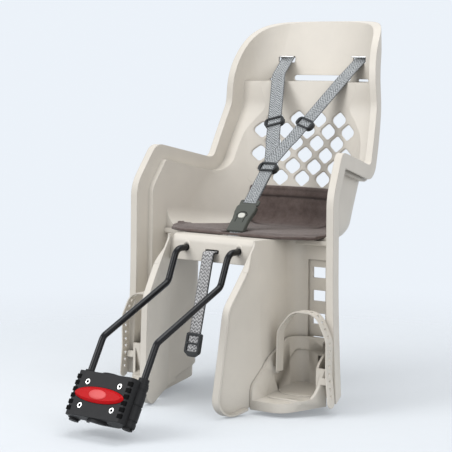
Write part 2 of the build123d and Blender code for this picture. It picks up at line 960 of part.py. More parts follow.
for hand, latch_name in ((1, "latch_left"), (-1, "latch_right")):
    with BuildPart() as latch:
        with BuildSketch(tube_plane(-latch_half)):
            with BuildLine():
                Polyline(
                    (hand * latch_in, -latch_front),
                    (hand * latch_tip, -latch_front),
                    (hand * latch_tip, -latch_rear),
                    (hand * latch_in, -latch_rear),
                    close=True,
                )
            make_face()
        extrude(amount=latch_height)
        with BuildSketch(tube_plane(-leg_half - latch_clearance)):
            slope_in = leg_tip - latch_clearance - latch_ratio * leg_dip
            with BuildLine():
                Polyline(
                    (hand * slope_in, -latch_front),
                    (hand * (leg_out + leg_play), -latch_front),
                    (hand * (leg_out + leg_play), -latch_rear),
                    (hand * (slope_in + latch_ratio * (latch_front - latch_rear)), -latch_rear),
                    close=True,
                )
            make_face()
        extrude(amount=2 * (leg_half + latch_clearance), mode=Mode.SUBTRACT)
    latch.part.label = latch_name
    export_step(latch.part, f"parts/{latch_name}.step")


def spot(y, z, x=0.0):
    """A point given in the seat's own sizes."""
    return Vector(x, hole_y + y, hole_z + z)


def run_plane(start, end):
    """Plane across a strap's run: local z along the run, local y out of the strap's face."""
    along = (end - start).normalized()
    out = Vector(0, -along.Z, along.Y).normalized()
    return Plane(origin=start, x_dir=out.cross(along), z_dir=along)


def run_face(start, end, share):
    """Plane in a strap's face at a share of its run: local x across the strap, local y along it."""
    across = run_plane(start, end)
    return Plane(origin=start + (end - start) * share, x_dir=-across.x_dir, z_dir=across.y_dir)


def webbing(points, lift):
    """A strap along straight runs, raised from its middle line by lift."""
    with BuildPart() as strap:
        for start, end in zip(points[:-1], points[1:]):
            with BuildSketch(run_plane(start, end)):
                with Locations((0, lift)):
                    Rectangle(strap_width, strap_thick)
            extrude(amount=(end - start).length + strap_thick / 2)
    return strap.part


# Where the harness runs, on the left-hand side
buckle_lift = math.radians(buckle_lean)
buckle_up = Vector(0, math.cos(buckle_lift), math.sin(buckle_lift))
buckle_foot = spot(buckle_low_y, buckle_low_z)
buckle_head = buckle_foot + buckle_up * buckle_length
tongue_bar = buckle_head + buckle_up * (2 * tongue_out - tongue_window + anchor_clearance)
harness_join = spot(harness_join_y, harness_join_z)
ledge_spot = spot(ledge_strap_y, ledge_strap_z, ledge_strap_x)
slot_spot = spot(belt_slot_y, belt_slot_z, belt_slot_x)
belt_way = (slot_spot - ledge_spot).normalized()
anchor_spot = slot_spot + belt_way * anchor_back
harness_route = [tongue_bar, harness_join, ledge_spot, anchor_spot + belt_way * anchor_tail]
layer = (strap_thick + layer_gap) / 2


def on_right(part):
    """The same piece on the child's right-hand side."""
    with BuildPart() as other:
        add(part)
        mirror(about=Plane.YZ, mode=Mode.REPLACE)
    return other.part


shoulder_strap_left = webbing(harness_route, -layer)
shoulder_strap_left.label = "shoulder_strap_left"
export_step(shoulder_strap_left, "parts/shoulder_strap_left.step")
shoulder_strap_right = on_right(webbing(harness_route, layer))
shoulder_strap_right.label = "shoulder_strap_right"
export_step(shoulder_strap_right, "parts/shoulder_strap_right.step")

with BuildPart() as strap_anchor:
    with BuildSketch(run_plane(ledge_spot, slot_spot).offset((anchor_spot - ledge_spot).length)):
        RectangleRounded(anchor_length, anchor_width, anchor_round)
        Rectangle(strap_width + 2 * anchor_clearance, 4 * layer + 2 * anchor_clearance, mode=Mode.SUBTRACT)
    extrude(amount=anchor_thick)
strap_anchor.part.label = "strap_anchor_left"
export_step(strap_anchor.part, "parts/strap_anchor_left.step")
strap_anchor_right = on_right(strap_anchor.part)
strap_anchor_right.label = "strap_anchor_right"
export_step(strap_anchor_right, "parts/strap_anchor_right.step")


def adjuster(start, end, share, low, high):
    """Oval slide on a strap: a bar behind the webbing and an open loop before it."""
    face = run_face(start, end, share)
    with BuildPart() as slide:
        with BuildSketch(face.offset(low - adjuster_clearance - adjuster_bar)):
            RectangleRounded(adjuster_width, adjuster_height, adjuster_round)
        extrude(amount=high - low + 2 * adjuster_clearance + adjuster_bar + adjuster_cover)
        with BuildSketch(face.offset(low - adjuster_clearance)):
            Rectangle(strap_width + 2 * adjuster_clearance, adjuster_height)
        extrude(amount=high - low + 2 * adjuster_clearance, mode=Mode.SUBTRACT)
        with BuildSketch(face.offset(high)):
            Rectangle(strap_width + 2 * adjuster_clearance, adjuster_window)
        extrude(amount=adjuster_clearance + adjuster_cover, mode=Mode.SUBTRACT)
    return slide.part


half_thick = strap_thick / 2
adjuster_left = adjuster(harness_join, ledge_spot, adjuster_along, -layer - half_thick, -layer + half_thick)
adjuster_left.label = "adjuster_left"
export_step(adjuster_left, "parts/adjuster_left.step")
adjuster_right = adjuster(harness_join, ledge_spot, adjuster_along, layer - half_thick, layer + half_thick)
adjuster_right = on_right(adjuster_right)
adjuster_right.label = "adjuster_right"
export_step(adjuster_right, "parts/adjuster_right.step")
lower_run = (harness_join - tongue_bar).length
lower_share = 1 - lower_adjuster_drop / lower_run
adjuster_lower = adjuster(tongue_bar, harness_join, lower_share, -layer - half_thick, layer + half_thick)
adjuster_lower.label = "adjuster_lower"
export_step(adjuster_lower, "parts/adjuster_lower.step")

buckle_face = run_face(buckle_foot, buckle_head, 0)
buckle_side = [buckle_edge, buckle_bow, buckle_bow, buckle_round]
with BuildPart() as buckle_body:
    with BuildSketch(buckle_face.offset(-buckle_thick / 2)):
        with BuildLine():
            FilletPolyline(
                (buckle_foot_width / 2, 0),
                (buckle_waist / 2, buckle_waist_at),
                (buckle_width / 2, buckle_shoulder_at),
                (buckle_width / 2, buckle_length),
                (-buckle_width / 2, buckle_length),
                (-buckle_width / 2, buckle_shoulder_at),
                (-buckle_waist / 2, buckle_waist_at),
                (-buckle_foot_width / 2, 0),
                radius=buckle_side + buckle_side[::-1],
                close=True,
            )
        make_face()
    extrude(amount=buckle_thick)
    fillet(buckle_body.faces().filter_by(buckle_face).edges(), buckle_edge)
    with BuildSketch(buckle_face.offset(-tongue_thick / 2 - tongue_clearance)):
        with Locations((0, buckle_length)):
            Rectangle(tongue_width + 2 * tongue_clearance, 2 * (tongue_depth + tongue_clearance))
    extrude(amount=tongue_thick + 2 * tongue_clearance, mode=Mode.SUBTRACT)
    with BuildSketch(buckle_face.offset(buckle_thick / 2 - buckle_button_depth)):
        with Locations((0, buckle_button_at)):
            SlotOverall(
                buckle_button_length + 2 * button_clearance, buckle_button_width + 2 * button_clearance
            )
    extrude(amount=buckle_button_depth, mode=Mode.SUBTRACT)
    with BuildSketch(buckle_face.offset(-strap_thick / 2 - anchor_clearance)):
        Rectangle(narrow_width + 2 * anchor_clearance, 2 * crotch_seat)
    extrude(amount=strap_thick + 2 * anchor_clearance, mode=Mode.SUBTRACT)
buckle_body.part.label = "buckle_body"
export_step(buckle_body.part, "parts/buckle_body.step")

with BuildPart() as buckle_button:
    with BuildSketch(buckle_face.offset(buckle_thick / 2 + buckle_button_rise)):
        with Locations((0, buckle_button_at)):
            SlotOverall(buckle_button_length, buckle_button_width)
    extrude(amount=-buckle_button_thick)
buckle_button.part.label = "buckle_button"
export_step(buckle_button.part, "parts/buckle_button.step")

with BuildPart() as buckle_tongue:
    with BuildSketch(buckle_face.offset(-tongue_thick / 2)):
        with Locations((0, buckle_length - tongue_depth)):
            RectangleRounded(tongue_width, 2 * tongue_depth, tongue_round)
        with Locations((0, buckle_length + tongue_out)):
            RectangleRounded(tongue_head, 2 * tongue_out, tongue_round)
        with Locations((0, buckle_length + 2 * tongue_out)):
            Rectangle(strap_width + 2 * anchor_clearance, 2 * tongue_window, mode=Mode.SUBTRACT)
        with Locations((0, buckle_length - 2 * tongue_depth)):
            Rectangle(tongue_width, 2 * tongue_depth, mode=Mode.SUBTRACT)
    extrude(amount=tongue_thick)
buckle_tongue.part.label = "buckle_tongue"
export_step(buckle_tongue.part, "parts/buckle_tongue.step")


def flat_strap(points, bends, width, thick, plane):
    """A strap of one section drawn in its side view and widened both ways."""
    with BuildPart() as strap:
        with BuildSketch(plane):
            with BuildLine():
                FilletPolyline(*points, radius=bends)
            trace(line_width=thick)
        extrude(amount=width / 2, both=True)
    return strap.part


spring_room = buckle_button_depth + buckle_button_rise - buckle_button_thick
spring_low = spring_leaf / 2 + spring_play
button_seat = run_face(buckle_foot, buckle_head, buckle_button_at / buckle_length)
spring_floor = button_seat.offset(buckle_thick / 2 - buckle_button_depth)
buckle_spring = flat_strap(
    [(-spring_half, spring_low), (0, spring_room - spring_low), (spring_half, spring_low)],
    spring_bend,
    spring_width,
    spring_leaf,
    Plane(origin=spring_floor.origin, x_dir=(1, 0, 0), z_dir=-buckle_up),
)
buckle_spring.label = "buckle_spring"
export_step(buckle_spring, "parts/buckle_spring.step")

seat_top = buckle_low_z + crotch_seat * math.sin(buckle_lift)
crotch_route = [
    (buckle_low_y + crotch_seat * math.cos(buckle_lift), seat_top),
    (buckle_low_y - crotch_bend * math.cos(buckle_lift), buckle_low_z - crotch_bend * math.sin(buckle_lift)),
    (crotch_slot_y, pan_top(crotch_slot_y)),
    (crotch_slot_y, pan_top(crotch_slot_y) - crotch_tail),
]
crotch_strap = flat_strap(crotch_route, crotch_radius, narrow_width, strap_thick, side(0))
crotch_strap.label = "crotch_strap"
export_step(crotch_strap, "parts/crotch_strap.step")

with BuildPart() as crotch_anchor:
    pan_floor = pan_plane(-wall - anchor_clearance)
    with BuildSketch(pan_floor):
        with Locations((0, crotch_slot_y / math.cos(math.radians(pan_slope)))):
            RectangleRounded(anchor_length, anchor_width, anchor_round)
            Rectangle(
                narrow_width + 2 * anchor_clearance, strap_thick + 2 * anchor_clearance, mode=Mode.SUBTRACT
            )
    extrude(amount=-anchor_thick)
crotch_anchor.part.label = "crotch_anchor"
export_step(crotch_anchor.part, "parts/crotch_anchor.step")

safety_route = [
    (lip_slot_in, lip_slot_z),
    (guard_brow_y - safety_out, lip_slot_z),
    (safety_drop_y, safety_drop_z),
]
safety_strap = flat_strap(safety_route, safety_bend, narrow_width, strap_thick, side(0))
safety_strap.label = "safety_strap"
export_step(safety_strap, "parts/safety_strap.step")
tail_step = strap_thick + layer_gap
safety_tail_route = [
    (lip_slot_in, lip_slot_z - tail_step),
    (guard_brow_y - safety_out + tail_step, lip_slot_z - tail_step),
    (safety_drop_y + tail_step, safety_drop_z),
]
safety_tail = flat_strap(safety_tail_route, safety_bend, narrow_width, strap_thick, side(0))
safety_tail.label = "safety_tail"
export_step(safety_tail, "parts/safety_tail.step")

with BuildPart() as safety_anchor:
    with BuildSketch(front(lip_rear(lip_slot_z + anchor_width / 2) + anchor_clearance)):
        with Locations((0, lip_slot_z - tail_step / 2)):
            RectangleRounded(anchor_length, anchor_width, anchor_round)
            Rectangle(
                narrow_width + 2 * anchor_clearance,
                2 * strap_thick + layer_gap + 2 * anchor_clearance,
                mode=Mode.SUBTRACT,
            )
    extrude(amount=-anchor_thick)
safety_anchor.part.label = "safety_anchor"
export_step(safety_anchor.part, "parts/safety_anchor.step")

drop_start = spot(guard_brow_y - safety_out + tail_step / 2, lip_slot_z)
drop_end = spot(safety_drop_y + tail_step / 2, safety_drop_z)
lock_face = run_face(drop_end, drop_start, 0)
with BuildPart() as safety_buckle:
    stack = strap_thick + layer_gap / 2 + adjuster_clearance
    with BuildSketch(lock_face.offset(-stack - lock_cover)):
        with Locations((0, lock_grip - lock_length / 2)):
            RectangleRounded(lock_width, lock_length, lock_round)
    extrude(amount=2 * (stack + lock_cover))
    with BuildSketch(lock_face.offset(-stack)):
        with Locations((0, lock_grip / 2 - adjuster_clearance)):
            Rectangle(narrow_width + 2 * adjuster_clearance, lock_grip + 2 * adjuster_clearance)
    extrude(amount=2 * stack, mode=Mode.SUBTRACT)
    with BuildSketch(lock_face.offset(stack)):
        with Locations((0, lock_grip / 2)):
            Rectangle(narrow_width - lock_round, lock_window)
    extrude(amount=lock_cover, mode=Mode.SUBTRACT)
safety_buckle.part.label = "safety_buckle"
export_step(safety_buckle.part, "parts/safety_buckle.step")

with BuildPart() as fork_bridge:
    with BuildSketch(side(-bridge_half)):
        with BuildLine():
            Polyline(
                (bridge_y, bridge_low_z),
                (bridge_y + bridge_depth, bridge_low_z),
                (bridge_y + bridge_depth, pan_top(bridge_y + bridge_depth) - pan_rise),
                (bridge_y, pan_top(bridge_y) - pan_rise),
                close=True,
            )
        make_face()
    extrude(amount=2 * bridge_half)
    with BuildSketch(front(bridge_y)):
        with Locations((hole_half_gap, rod_brow_z), (-hole_half_gap, rod_brow_z)):
            Circle(rod_radius + socket_clearance)
    extrude(amount=-bridge_depth, mode=Mode.SUBTRACT)
    with BuildSketch(front(bridge_y)):
        with Locations((0, bridge_low_z)):
            Rectangle(2 * (hole_half_gap - rod_radius - bridge_wall), 2 * bridge_arch)
    extrude(amount=-bridge_depth, mode=Mode.SUBTRACT)
    with BuildSketch(plan(bridge_low_z)):
        with Locations(*bridge_spots):
            Circle(bridge_screw / 2 + hole_clearance)
    extrude(amount=2 * bridge_depth, mode=Mode.SUBTRACT)
fork_bridge.part.label = "fork_bridge"
export_step(fork_bridge.part, "parts/fork_bridge.step")

with BuildPart() as fork_screws:
    with BuildSketch(plan(bridge_low_z + bridge_arch)):
        with Locations(*bridge_spots):
            Circle(bridge_screw_head / 2)
    extrude(amount=-bridge_screw_cap)
    with BuildSketch(plan(bridge_low_z + bridge_arch)):
        with Locations(*bridge_spots):
            Circle(bridge_screw / 2)
    extrude(amount=pan_top(bridge_mid) - bridge_screw_short - bridge_low_z - bridge_arch)
fork_screws.part.label = "fork_screws"
export_step(fork_screws.part, "parts/fork_screws.step")

cushion_grow = cushion_gap + cushion_thick


def cushion_space(gap):
    """The space above the pan, smaller by a gap all round."""
    return pan_space(-step_side - gap, -step_back - gap, inner_corner_radius - gap, gap, pan_blend - gap)


cushion_out = cushion_space(cushion_gap)
cushion_in = cushion_space(cushion_grow)
with BuildPart() as seat_cushion:
    with BuildSketch(plan(0)) as cushion_plan:
        with BuildLine():
            Polyline(
                (-cushion_half, cushion_front_y),
                (cushion_half, cushion_front_y),
                (cushion_half, cushion_tip_y),
                (cushion_top_half, cushion_top_y),
                (cushion_top_half, rear_far),
                (-cushion_top_half, rear_far),
                (-cushion_top_half, cushion_top_y),
                (-cushion_half, cushion_tip_y),
                close=True,
            )
        make_face()
        fillet(cushion_plan.vertices().group_by(Axis.Y)[0], cushion_corner)
    extrude(amount=cushion_top_z)
    add(cushion_out, mode=Mode.INTERSECT)
    add(cushion_in, mode=Mode.SUBTRACT)
    with BuildSketch(plan(0)):
        with Locations((0, cushion_hole_y)):
            Rectangle(cushion_hole_width, cushion_hole_length)
    extrude(amount=cushion_top_z, mode=Mode.SUBTRACT)
seat_cushion.part.label = "seat_cushion"
export_step(seat_cushion.part, "parts/seat_cushion.step")

foot_rear_y = guard_back_y - foot_gap
foot_top_z = foot_back_z + foot_travel


def foot_out_x(y):
    """Outer side of a foot rest, clear of the wing all the way up its travel."""
    return wing_x(y, foot_top_z) - step_side - foot_gap


def foot_floor_z(y):
    """Top of a foot rest's sloping floor."""
    slope = (foot_heel_z - foot_toe_z) / (foot_rear_y - foot_toe_y)
    return foot_toe_z + (y - foot_toe_y) * slope


def foot_channel(gap):
    """The space between a guard's inner wall and the wing, kept clear of the wall by a gap."""
    with BuildPart() as space:
        for z in (guard_top_z, low_z):
            with BuildSketch(plan(z)) as section:
                with BuildLine():
                    Polyline(
                        (guard_x(front_far, z) + gap, front_far),
                        (guard_x(0, z) + gap, 0),
                        (guard_x(guard_back_y, z) + gap, guard_back_y - gap),
                        (span, guard_back_y - gap),
                        (span, front_far),
                        close=True,
                    )
                make_face()
                corner = section.vertices().group_by(Axis.Y)[-1].sort_by(Axis.X)[0]
                fillet(corner, guard_corner)
        loft(ruled=True)
    return space.part


def foot_plan(inset):
    """Plan outline of a foot rest's front and outer side, moved inwards."""
    with BuildPart() as prism:
        with BuildSketch(plan(low_z)):
            with BuildLine():
                FilletPolyline(
                    (0, foot_toe_y),
                    (foot_bow_x, foot_toe_y),
                    (foot_hook_x, foot_hook_y),
                    (foot_out_x(foot_hook_y), foot_hook_y),
                    (foot_out_x(foot_rear_y), foot_rear_y),
                    (0, foot_rear_y),
                    radius=[0, foot_bow, 0, 0, 0, 0],
                    close=True,
                )
            make_face()
            if inset > 0:
                offset(amount=-inset, mode=Mode.REPLACE)
        extrude(amount=-low_z)
    return prism.part


def foot_profile(lift):
    """Side outline of a foot rest, its floor raised by lift."""
    with BuildPart() as prism:
        with BuildSketch(side(0)):
            with BuildLine():
                FilletPolyline(
                    (foot_toe_y, foot_toe_z + lift),
                    (foot_rear_y, foot_heel_z + lift),
                    (foot_rear_y, foot_back_z),
                    (foot_wall_y, foot_back_z),
                    (foot_arm_y, foot_arm_z),
                    (foot_brow_y, foot_brow_z),
                    (foot_toe_y, foot_toe_z + foot_rib_rise),
                    radius=[0, 0, 0, foot_round, foot_round, foot_round, 0],
                    close=True,
                )
            make_face()
        extrude(amount=span)
    return prism.part


foot_block = common(foot_channel(foot_gap), foot_plan(0), foot_profile(-foot_skirt))
foot_hollow = common(foot_channel(foot_gap + foot_wall), foot_plan(foot_wall), foot_profile(0))
with BuildPart() as foot_cup:
    with BuildSketch(side(0)):
        with BuildLine():
            Polyline(
                (foot_rear_y, foot_cup_z),
                (foot_cup_y, foot_cup_z),
                (foot_cup_knee_y, foot_cup_knee_z),
                (foot_cup_front_y, foot_toe_z),
                (foot_rear_y, foot_heel_z - foot_cup_depth),
                close=True,
            )
        make_face()
    extrude(amount=span)
    add(foot_channel(foot_gap + foot_cup_wall), mode=Mode.INTERSECT)
    add(foot_plan(foot_cup_wall), mode=Mode.INTERSECT)
with BuildPart() as foot_under:
    with BuildSketch(side(0)):
        with BuildLine():
            Polyline(
                (foot_toe_y, low_z),
                (foot_toe_y, foot_toe_z - foot_floor),
                (foot_rear_y, foot_heel_z - foot_floor),
                (foot_rear_y, low_z),
                close=True,
            )
        make_face()
    extrude(amount=span)
    add(foot_channel(foot_gap + foot_wall), mode=Mode.INTERSECT)
    add(foot_plan(foot_wall), mode=Mode.INTERSECT)
with BuildPart() as foot_open:
    with BuildSketch(side(0)):
        with BuildLine():
            Polyline(
                (foot_toe_y - foot_wall, foot_floor_z(foot_toe_y - foot_wall)),
                (foot_open_y, foot_floor_z(foot_open_y)),
                (foot_open_y, 0),
                (foot_toe_y - foot_wall, 0),
                close=True,
            )
        make_face()
    extrude(amount=span)
    add(foot_channel(foot_gap + foot_wall), mode=Mode.INTERSECT)

with BuildPart() as foot_rest:
    add(foot_block)
    add(foot_hollow, mode=Mode.SUBTRACT)
    add(foot_cup.part, mode=Mode.SUBTRACT)
    add(foot_under.part, mode=Mode.SUBTRACT)
    add(foot_open.part, mode=Mode.SUBTRACT)
    with BuildSketch(front(foot_rear_y + foot_gap)):
        with Locations((foot_slot_x, foot_slot_z)):
            Rectangle(foot_slot_width, foot_slot_height)
    extrude(amount=2 * foot_wall, mode=Mode.SUBTRACT)
    with BuildSketch(plan(foot_toe_z - foot_floor / 2)):
        with Locations((foot_rib_x, foot_rib_y)):
            Rectangle(foot_rib_length, foot_rib_width)
    extrude(amount=foot_floor + foot_rib_rise)
    with BuildSketch(front(foot_rear_y)):
        with Locations((window_x, foot_back_z - foot_lug_drop)):
            Rectangle(foot_lug_width, foot_lug_height)
    extrude(amount=-foot_gap - track_depth + foot_lug_play)
    with BuildSketch(front(foot_strap_y - foot_ear / 2)):
        with BuildLine():
            Polyline(
                (foot_hook_x - 2 * foot_wall, foot_ear_z),
                (foot_strap_out_x - foot_strap_thick, foot_ear_z),
                (foot_strap_out_x - foot_strap_thick, foot_ear_z + foot_ear_height),
                (foot_hook_x - 2 * foot_wall, foot_ear_z + foot_ear_height),
                close=True,
            )
        make_face()
    extrude(amount=-foot_ear)
    with BuildSketch(front(foot_strap_y - foot_ear / 2)):
        with BuildLine():
            peg_in = guard_x(foot_strap_y, foot_peg_z) + foot_gap + foot_wall / 2
            Polyline(
                (peg_in, foot_peg_z),
                (foot_peg_x, foot_peg_z),
                (foot_peg_x, foot_peg_z + foot_ear_height),
                (peg_in, foot_peg_z + foot_ear_height),
                close=True,
            )
        make_face()
    extrude(amount=-foot_ear)
foot_rest.part.label = "foot_rest_left"
export_step(foot_rest.part, "parts/foot_rest_left.step")
foot_rest_right = on_right(foot_rest.part)
foot_rest_right.label = "foot_rest_right"
export_step(foot_rest_right, "parts/foot_rest_right.step")

foot_strap_route = [
    (foot_peg_x + foot_strap_gap + foot_strap_thick / 2, foot_strap_end_z),
    (foot_strap_rise_x, foot_strap_rise_z),
    (foot_strap_top_x, foot_strap_top_z),
    (foot_strap_brow_x, foot_strap_top_z),
    (foot_strap_out_x, foot_strap_out_z),
    (foot_strap_out_x, foot_strap_low_z),
    (foot_strap_tail_x, foot_strap_tail_z),
]
foot_strap = flat_strap(
    foot_strap_route, foot_strap_bends, foot_strap_width, foot_strap_thick, front(foot_strap_y)
)
foot_strap.label = "foot_strap_left"
export_step(foot_strap, "parts/foot_strap_left.step")
foot_strap_right = on_right(foot_strap)
foot_strap_right.label = "foot_strap_right"
export_step(foot_strap_right, "parts/foot_strap_right.step")

latch_mid = -(latch_front + latch_rear) / 2
for hand, spring_name in ((1, "latch_spring_left"), (-1, "latch_spring_right")):
    near = hand * (latch_room + spring_low)
    far = hand * (latch_in - spring_low)
    reach = (latch_front - latch_rear) / 2 - spring_leaf
    latch_spring = flat_strap(
        [(near, latch_mid - reach), (far, latch_mid), (near, latch_mid + reach)],
        spring_bend,
        spring_width,
        spring_leaf,
        tube_plane(0),
    )
    latch_spring.label = spring_name
    export_step(latch_spring, f"parts/{spring_name}.step")
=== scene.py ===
"""Looks of a rear child bicycle seat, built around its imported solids. Metres, the frame's own axes."""

import math

import bmesh
import bpy
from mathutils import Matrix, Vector


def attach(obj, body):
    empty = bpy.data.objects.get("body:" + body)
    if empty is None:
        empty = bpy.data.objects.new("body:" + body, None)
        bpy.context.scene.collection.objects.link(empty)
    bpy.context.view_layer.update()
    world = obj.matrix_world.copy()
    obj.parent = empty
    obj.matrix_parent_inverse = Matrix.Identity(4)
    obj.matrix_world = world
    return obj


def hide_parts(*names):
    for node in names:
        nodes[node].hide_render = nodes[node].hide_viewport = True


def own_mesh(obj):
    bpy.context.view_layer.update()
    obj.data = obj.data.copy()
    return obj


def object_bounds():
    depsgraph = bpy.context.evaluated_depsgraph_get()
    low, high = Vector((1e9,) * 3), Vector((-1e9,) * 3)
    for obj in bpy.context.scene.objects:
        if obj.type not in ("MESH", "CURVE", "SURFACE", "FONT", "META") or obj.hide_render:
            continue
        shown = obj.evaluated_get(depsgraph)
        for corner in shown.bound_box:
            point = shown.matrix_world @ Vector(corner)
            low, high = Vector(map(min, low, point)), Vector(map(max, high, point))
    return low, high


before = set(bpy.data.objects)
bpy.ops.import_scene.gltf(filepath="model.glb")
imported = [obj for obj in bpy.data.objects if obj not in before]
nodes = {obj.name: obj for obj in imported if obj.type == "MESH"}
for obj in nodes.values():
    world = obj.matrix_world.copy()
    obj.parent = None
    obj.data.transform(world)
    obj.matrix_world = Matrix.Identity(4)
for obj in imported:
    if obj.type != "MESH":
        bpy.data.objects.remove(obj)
cad_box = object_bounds()
MM = 0.001

# Camera: seen from the child's front left, a little above the seat's fork holes
SEAT = Vector((0.0, 0.303, 0.230))
IMAGE_PX = 452
FOCAL_PX = 1600
SENSOR_MM = 36.0
VIEW_AZIMUTH = math.radians(36.158)
VIEW_ELEVATION = math.radians(7.368)
VIEW_DISTANCE = 2.9326
AIM_LEFT_PX = 12.54
AIM_DOWN_PX = 22.72
CLIP_END = 50
SIDES = ((1, "left"), (-1, "right"))

# Lamps, each with its place from the seat, size and power, and the stage
LAMPS = {
    "key": ((-1.2, -2.0, 1.6), 1.6, 38),
    "fill": ((2.2, -1.2, 0.9), 1.8, 16),
    "top": ((0.2, 0.3, 2.2), 1.5, 22),
}
LAMP_AIM = (0, 0.1, 0.05)
SKY_LIGHT = 0.44
BACKGROUND = (0.84, 0.89, 0.95, 1)
FLOOR_Z = cad_box[0][2] - 0.002
FLOOR_HALF = 1.6
FLOOR_CELLS = 8
FLOOR_COLOUR = (0.80, 0.84, 0.88)
FLOOR_ALPHA = 0.75
FADE_FROM = 0.25
FADE_TO = FLOOR_HALF * 0.95

# Looks: scale, detail and roughness of each noise, and what the plastics and webbings share
CREAM = (0.71, 0.668, 0.60)
CLOUD = (14.0, 4.0)
CLOUD_TINT = (0.955, 1.03)
CLOUD_STOPS = (0.3, 0.7)
SCUFF = (85.0, 5.0, 0.65)
SCUFF_RANGE = (-0.06, 0.08)
GRAIN_DETAIL = 2.0
# Painted shade: how far ambient occlusion reaches, and where it darkens a plastic's colour in hollows
PAINTED_SHADE_REACH = 0.07
PAINTED_SHADE_STOPS = (0.15, 0.75)
NAP = (75.0, 8.0, 0.7)
NAP_STOPS = (0.28, 0.72)
FUZZ = (1400.0, 6.0, 0.7)
FUZZ_DEPTH = 0.0006
SEAM_SHARE = 0.95
SEAM_DARK = 0.3
FIBRE_RANGE = (-0.9, 1.9)
WEAVE_STOPS = (0.18, 0.5, 0.82)
WEAVE_DEPTH = 0.0007
EDGE_DARK_REACH = 0.0026
EDGE_STOPS = (0.35, 0.9)
EDGE_DARK = (0.3, 0.3, 0.3)
PAPER = (40.0, 4.0)
PAPER_GRAIN = (300.0, 3.0)
PAPER_DEPTH = 0.0001

# Harness, from the solids' own sizes, in seat millimetres
SHOULDER_BENDS = [28, 22]
CROTCH_BENDS = [4, 4]
SAFETY_BENDS = [6]
BEND_STEPS = 8
BELT_ACROSS = (-1, -0.96, -0.86, -0.45, 0, 0.45, 0.86, 0.96, 1)
BELT_RISE = (0, 0.75, 1.0, 0.94, 0.92, 0.94, 1.0, 0.75, 0)
STRAP_WIDTH = 30.0
NARROW_WIDTH = 25.0
STRAP_THICK = 1.6
LAYER = 0.95
CROSS_FROM = 147.0
CROSS_TO = 166.0
TONGUE_BAR = (0, 116.2, 73.9)
HARNESS_JOIN = (0, 186, 146)
LEDGE = (78, 329, 311)
BELT_END = (87.5, 386.3, 351.9)
CROTCH_ROUTE = [(0, 74.9, 31.2), (0, 65.9, 21.8), (0, 58, 17.5), (0, 58, 4.5)]
SAFETY_ROUTE = [(0, 8, -5), (0, -16, -5), (0, -66.8, -183.5)]
TAIL_ROUTE = [(0, 8, -6.9), (0, -14.1, -6.9), (0, -61.1, -170)]
LOCK_END = (0, -62.05, -170)
LOCK_UP = (0, 0.27, 0.963)
LOCK_DEEP = 4.6
LOCK_EDGE = 0.0012
LOCK_OUTLINE = [
    (-16, 20),
    (-13, 22),
    (13, 22),
    (16, 20),
    (16.5, -12),
    (15, -15),
    (6, -21.5),
    (-6, -21.5),
    (-15, -15),
    (-16.5, -12),
]
LOCK_WINDOWS = ((4, 17), (-12, 1))
WINDOW_HALF = 11.5
WINDOW_CUT = 1.5
SLOT_BAR = (366.5, 346.6)
SLOT_BAR_RADIUS = 1.6
SLOT_BAR_X = (68, 102)

# Foot straps, in the plane y = FOOT_Y of the left side
FOOT_Y = 29.0
FOOT_WIDTH = 21.0
FOOT_THICK = 2.4
FOOT_ROUTE = [
    (127.4, -217),
    (129, -140),
    (160, -103),
    (210, -103),
    (233, -150),
    (233, -212),
    (239, -272),
]
FOOT_BENDS = [40, 34, 34, 30, 20]
FOOT_STEP = 3.5
NOSE_STEPS = 12
HOLE_PITCH = 13.5
HOLE_SIZE = 3.5
HOLE_LONG = 1.5
HOLE_WIDE = 1.2
HOLES_FROM = 92.0
HOLES_END = 12.0

# Clamp block, in its own axes: x across, along the seat tube, depth to the rear
TUBE_LEAN = math.radians(31.03)
BLOCK_FRONT = 28.0
# Black fills in the face's notches and in the screws' sockets are painted shade
NOTCH_SHADE_X = 55.5
NOTCH_SHADE_HALF = (4.9, 3.9)
NOTCH_SHADE_PITCH = 11.5
NOTCH_SHADE_ROWS = 6
NOTCH_SHADE_DEEP = 3.8
NOTCH_SHADE_PROUD = 0.25
SCREWS = ((35, 21.6), (-35, 21.6), (35, -21.6), (-35, -21.6))
SOCKET_RADIUS = 3.1
SOCKET_DEEP = 2.5
SOCKET_SUNK = 0.85
SLEEVE_X = 59.0
SLEEVE_RADIUS = 11.0
SLEEVE_INSET = 0.3
SLEEVE_SPANS = ((-75, 80, SLEEVE_X), (255, 100, -SLEEVE_X))
SLEEVE_PANELS = ((1.3, -27, -2), (1.3, 0.5, 24), (0.9, 29, 36), (0.9, -38, -31))
SLEEVE_FOOT = (2, 9, 0, 340, -44, -39.5)
COLLAR_TOP = (18.9, 25, 205, 335, 39.5, 43)
COLLAR_FOOT = (18.9, 24, 205, 335, -45, -39.5)
ARC_STEP = 9
# Lighter red oval on the release button, a painted highlight: half sizes, face, rise and sides
HIGHLIGHT_HALF = (19, 8.8)
HIGHLIGHT_FACE = -33
HIGHLIGHT_RISE = ((1.0, 0.0), (0.96, 0.5), (0.8, 0.9), (0.5, 1.15))
HIGHLIGHT_SIDES = 40

# Buckle face, in seat millimetres
BUCKLE_FOOT = (0, 68, 24)
BUCKLE_LEAN = math.radians(46)
BUCKLE_THICK = 10.0
RIDGE_X = 22.0
RIDGE_HALF = 0.8
RIDGE_DEEP = 3.4
RIDGE_FROM = 45.5
RIDGE_PITCH = 3.2
RIDGE_COUNT = 5
# Dark line in the gap round the release button: painted shade
GROOVE_LEG = 8.6
GROOVE_LOW = 22
GROOVE_TOP = 36
GROOVE_ARCH = (11.5, 9.5)
GROOVE_STEPS = 16
GROOVE_HALF = 0.7
GROOVE_DEEP = 0.3
GROOVE_PROUD = 0.06

# Springs: where they stand still, and what is left of them when they are pressed
BUCKLE_SPRING_ROOT = (0, 35, -0.9)
BUCKLE_SPRING_KEEP = 0.28
LATCH_SPRING_ROOT = 21.2
LATCH_SPRING_KEEP = 0.58

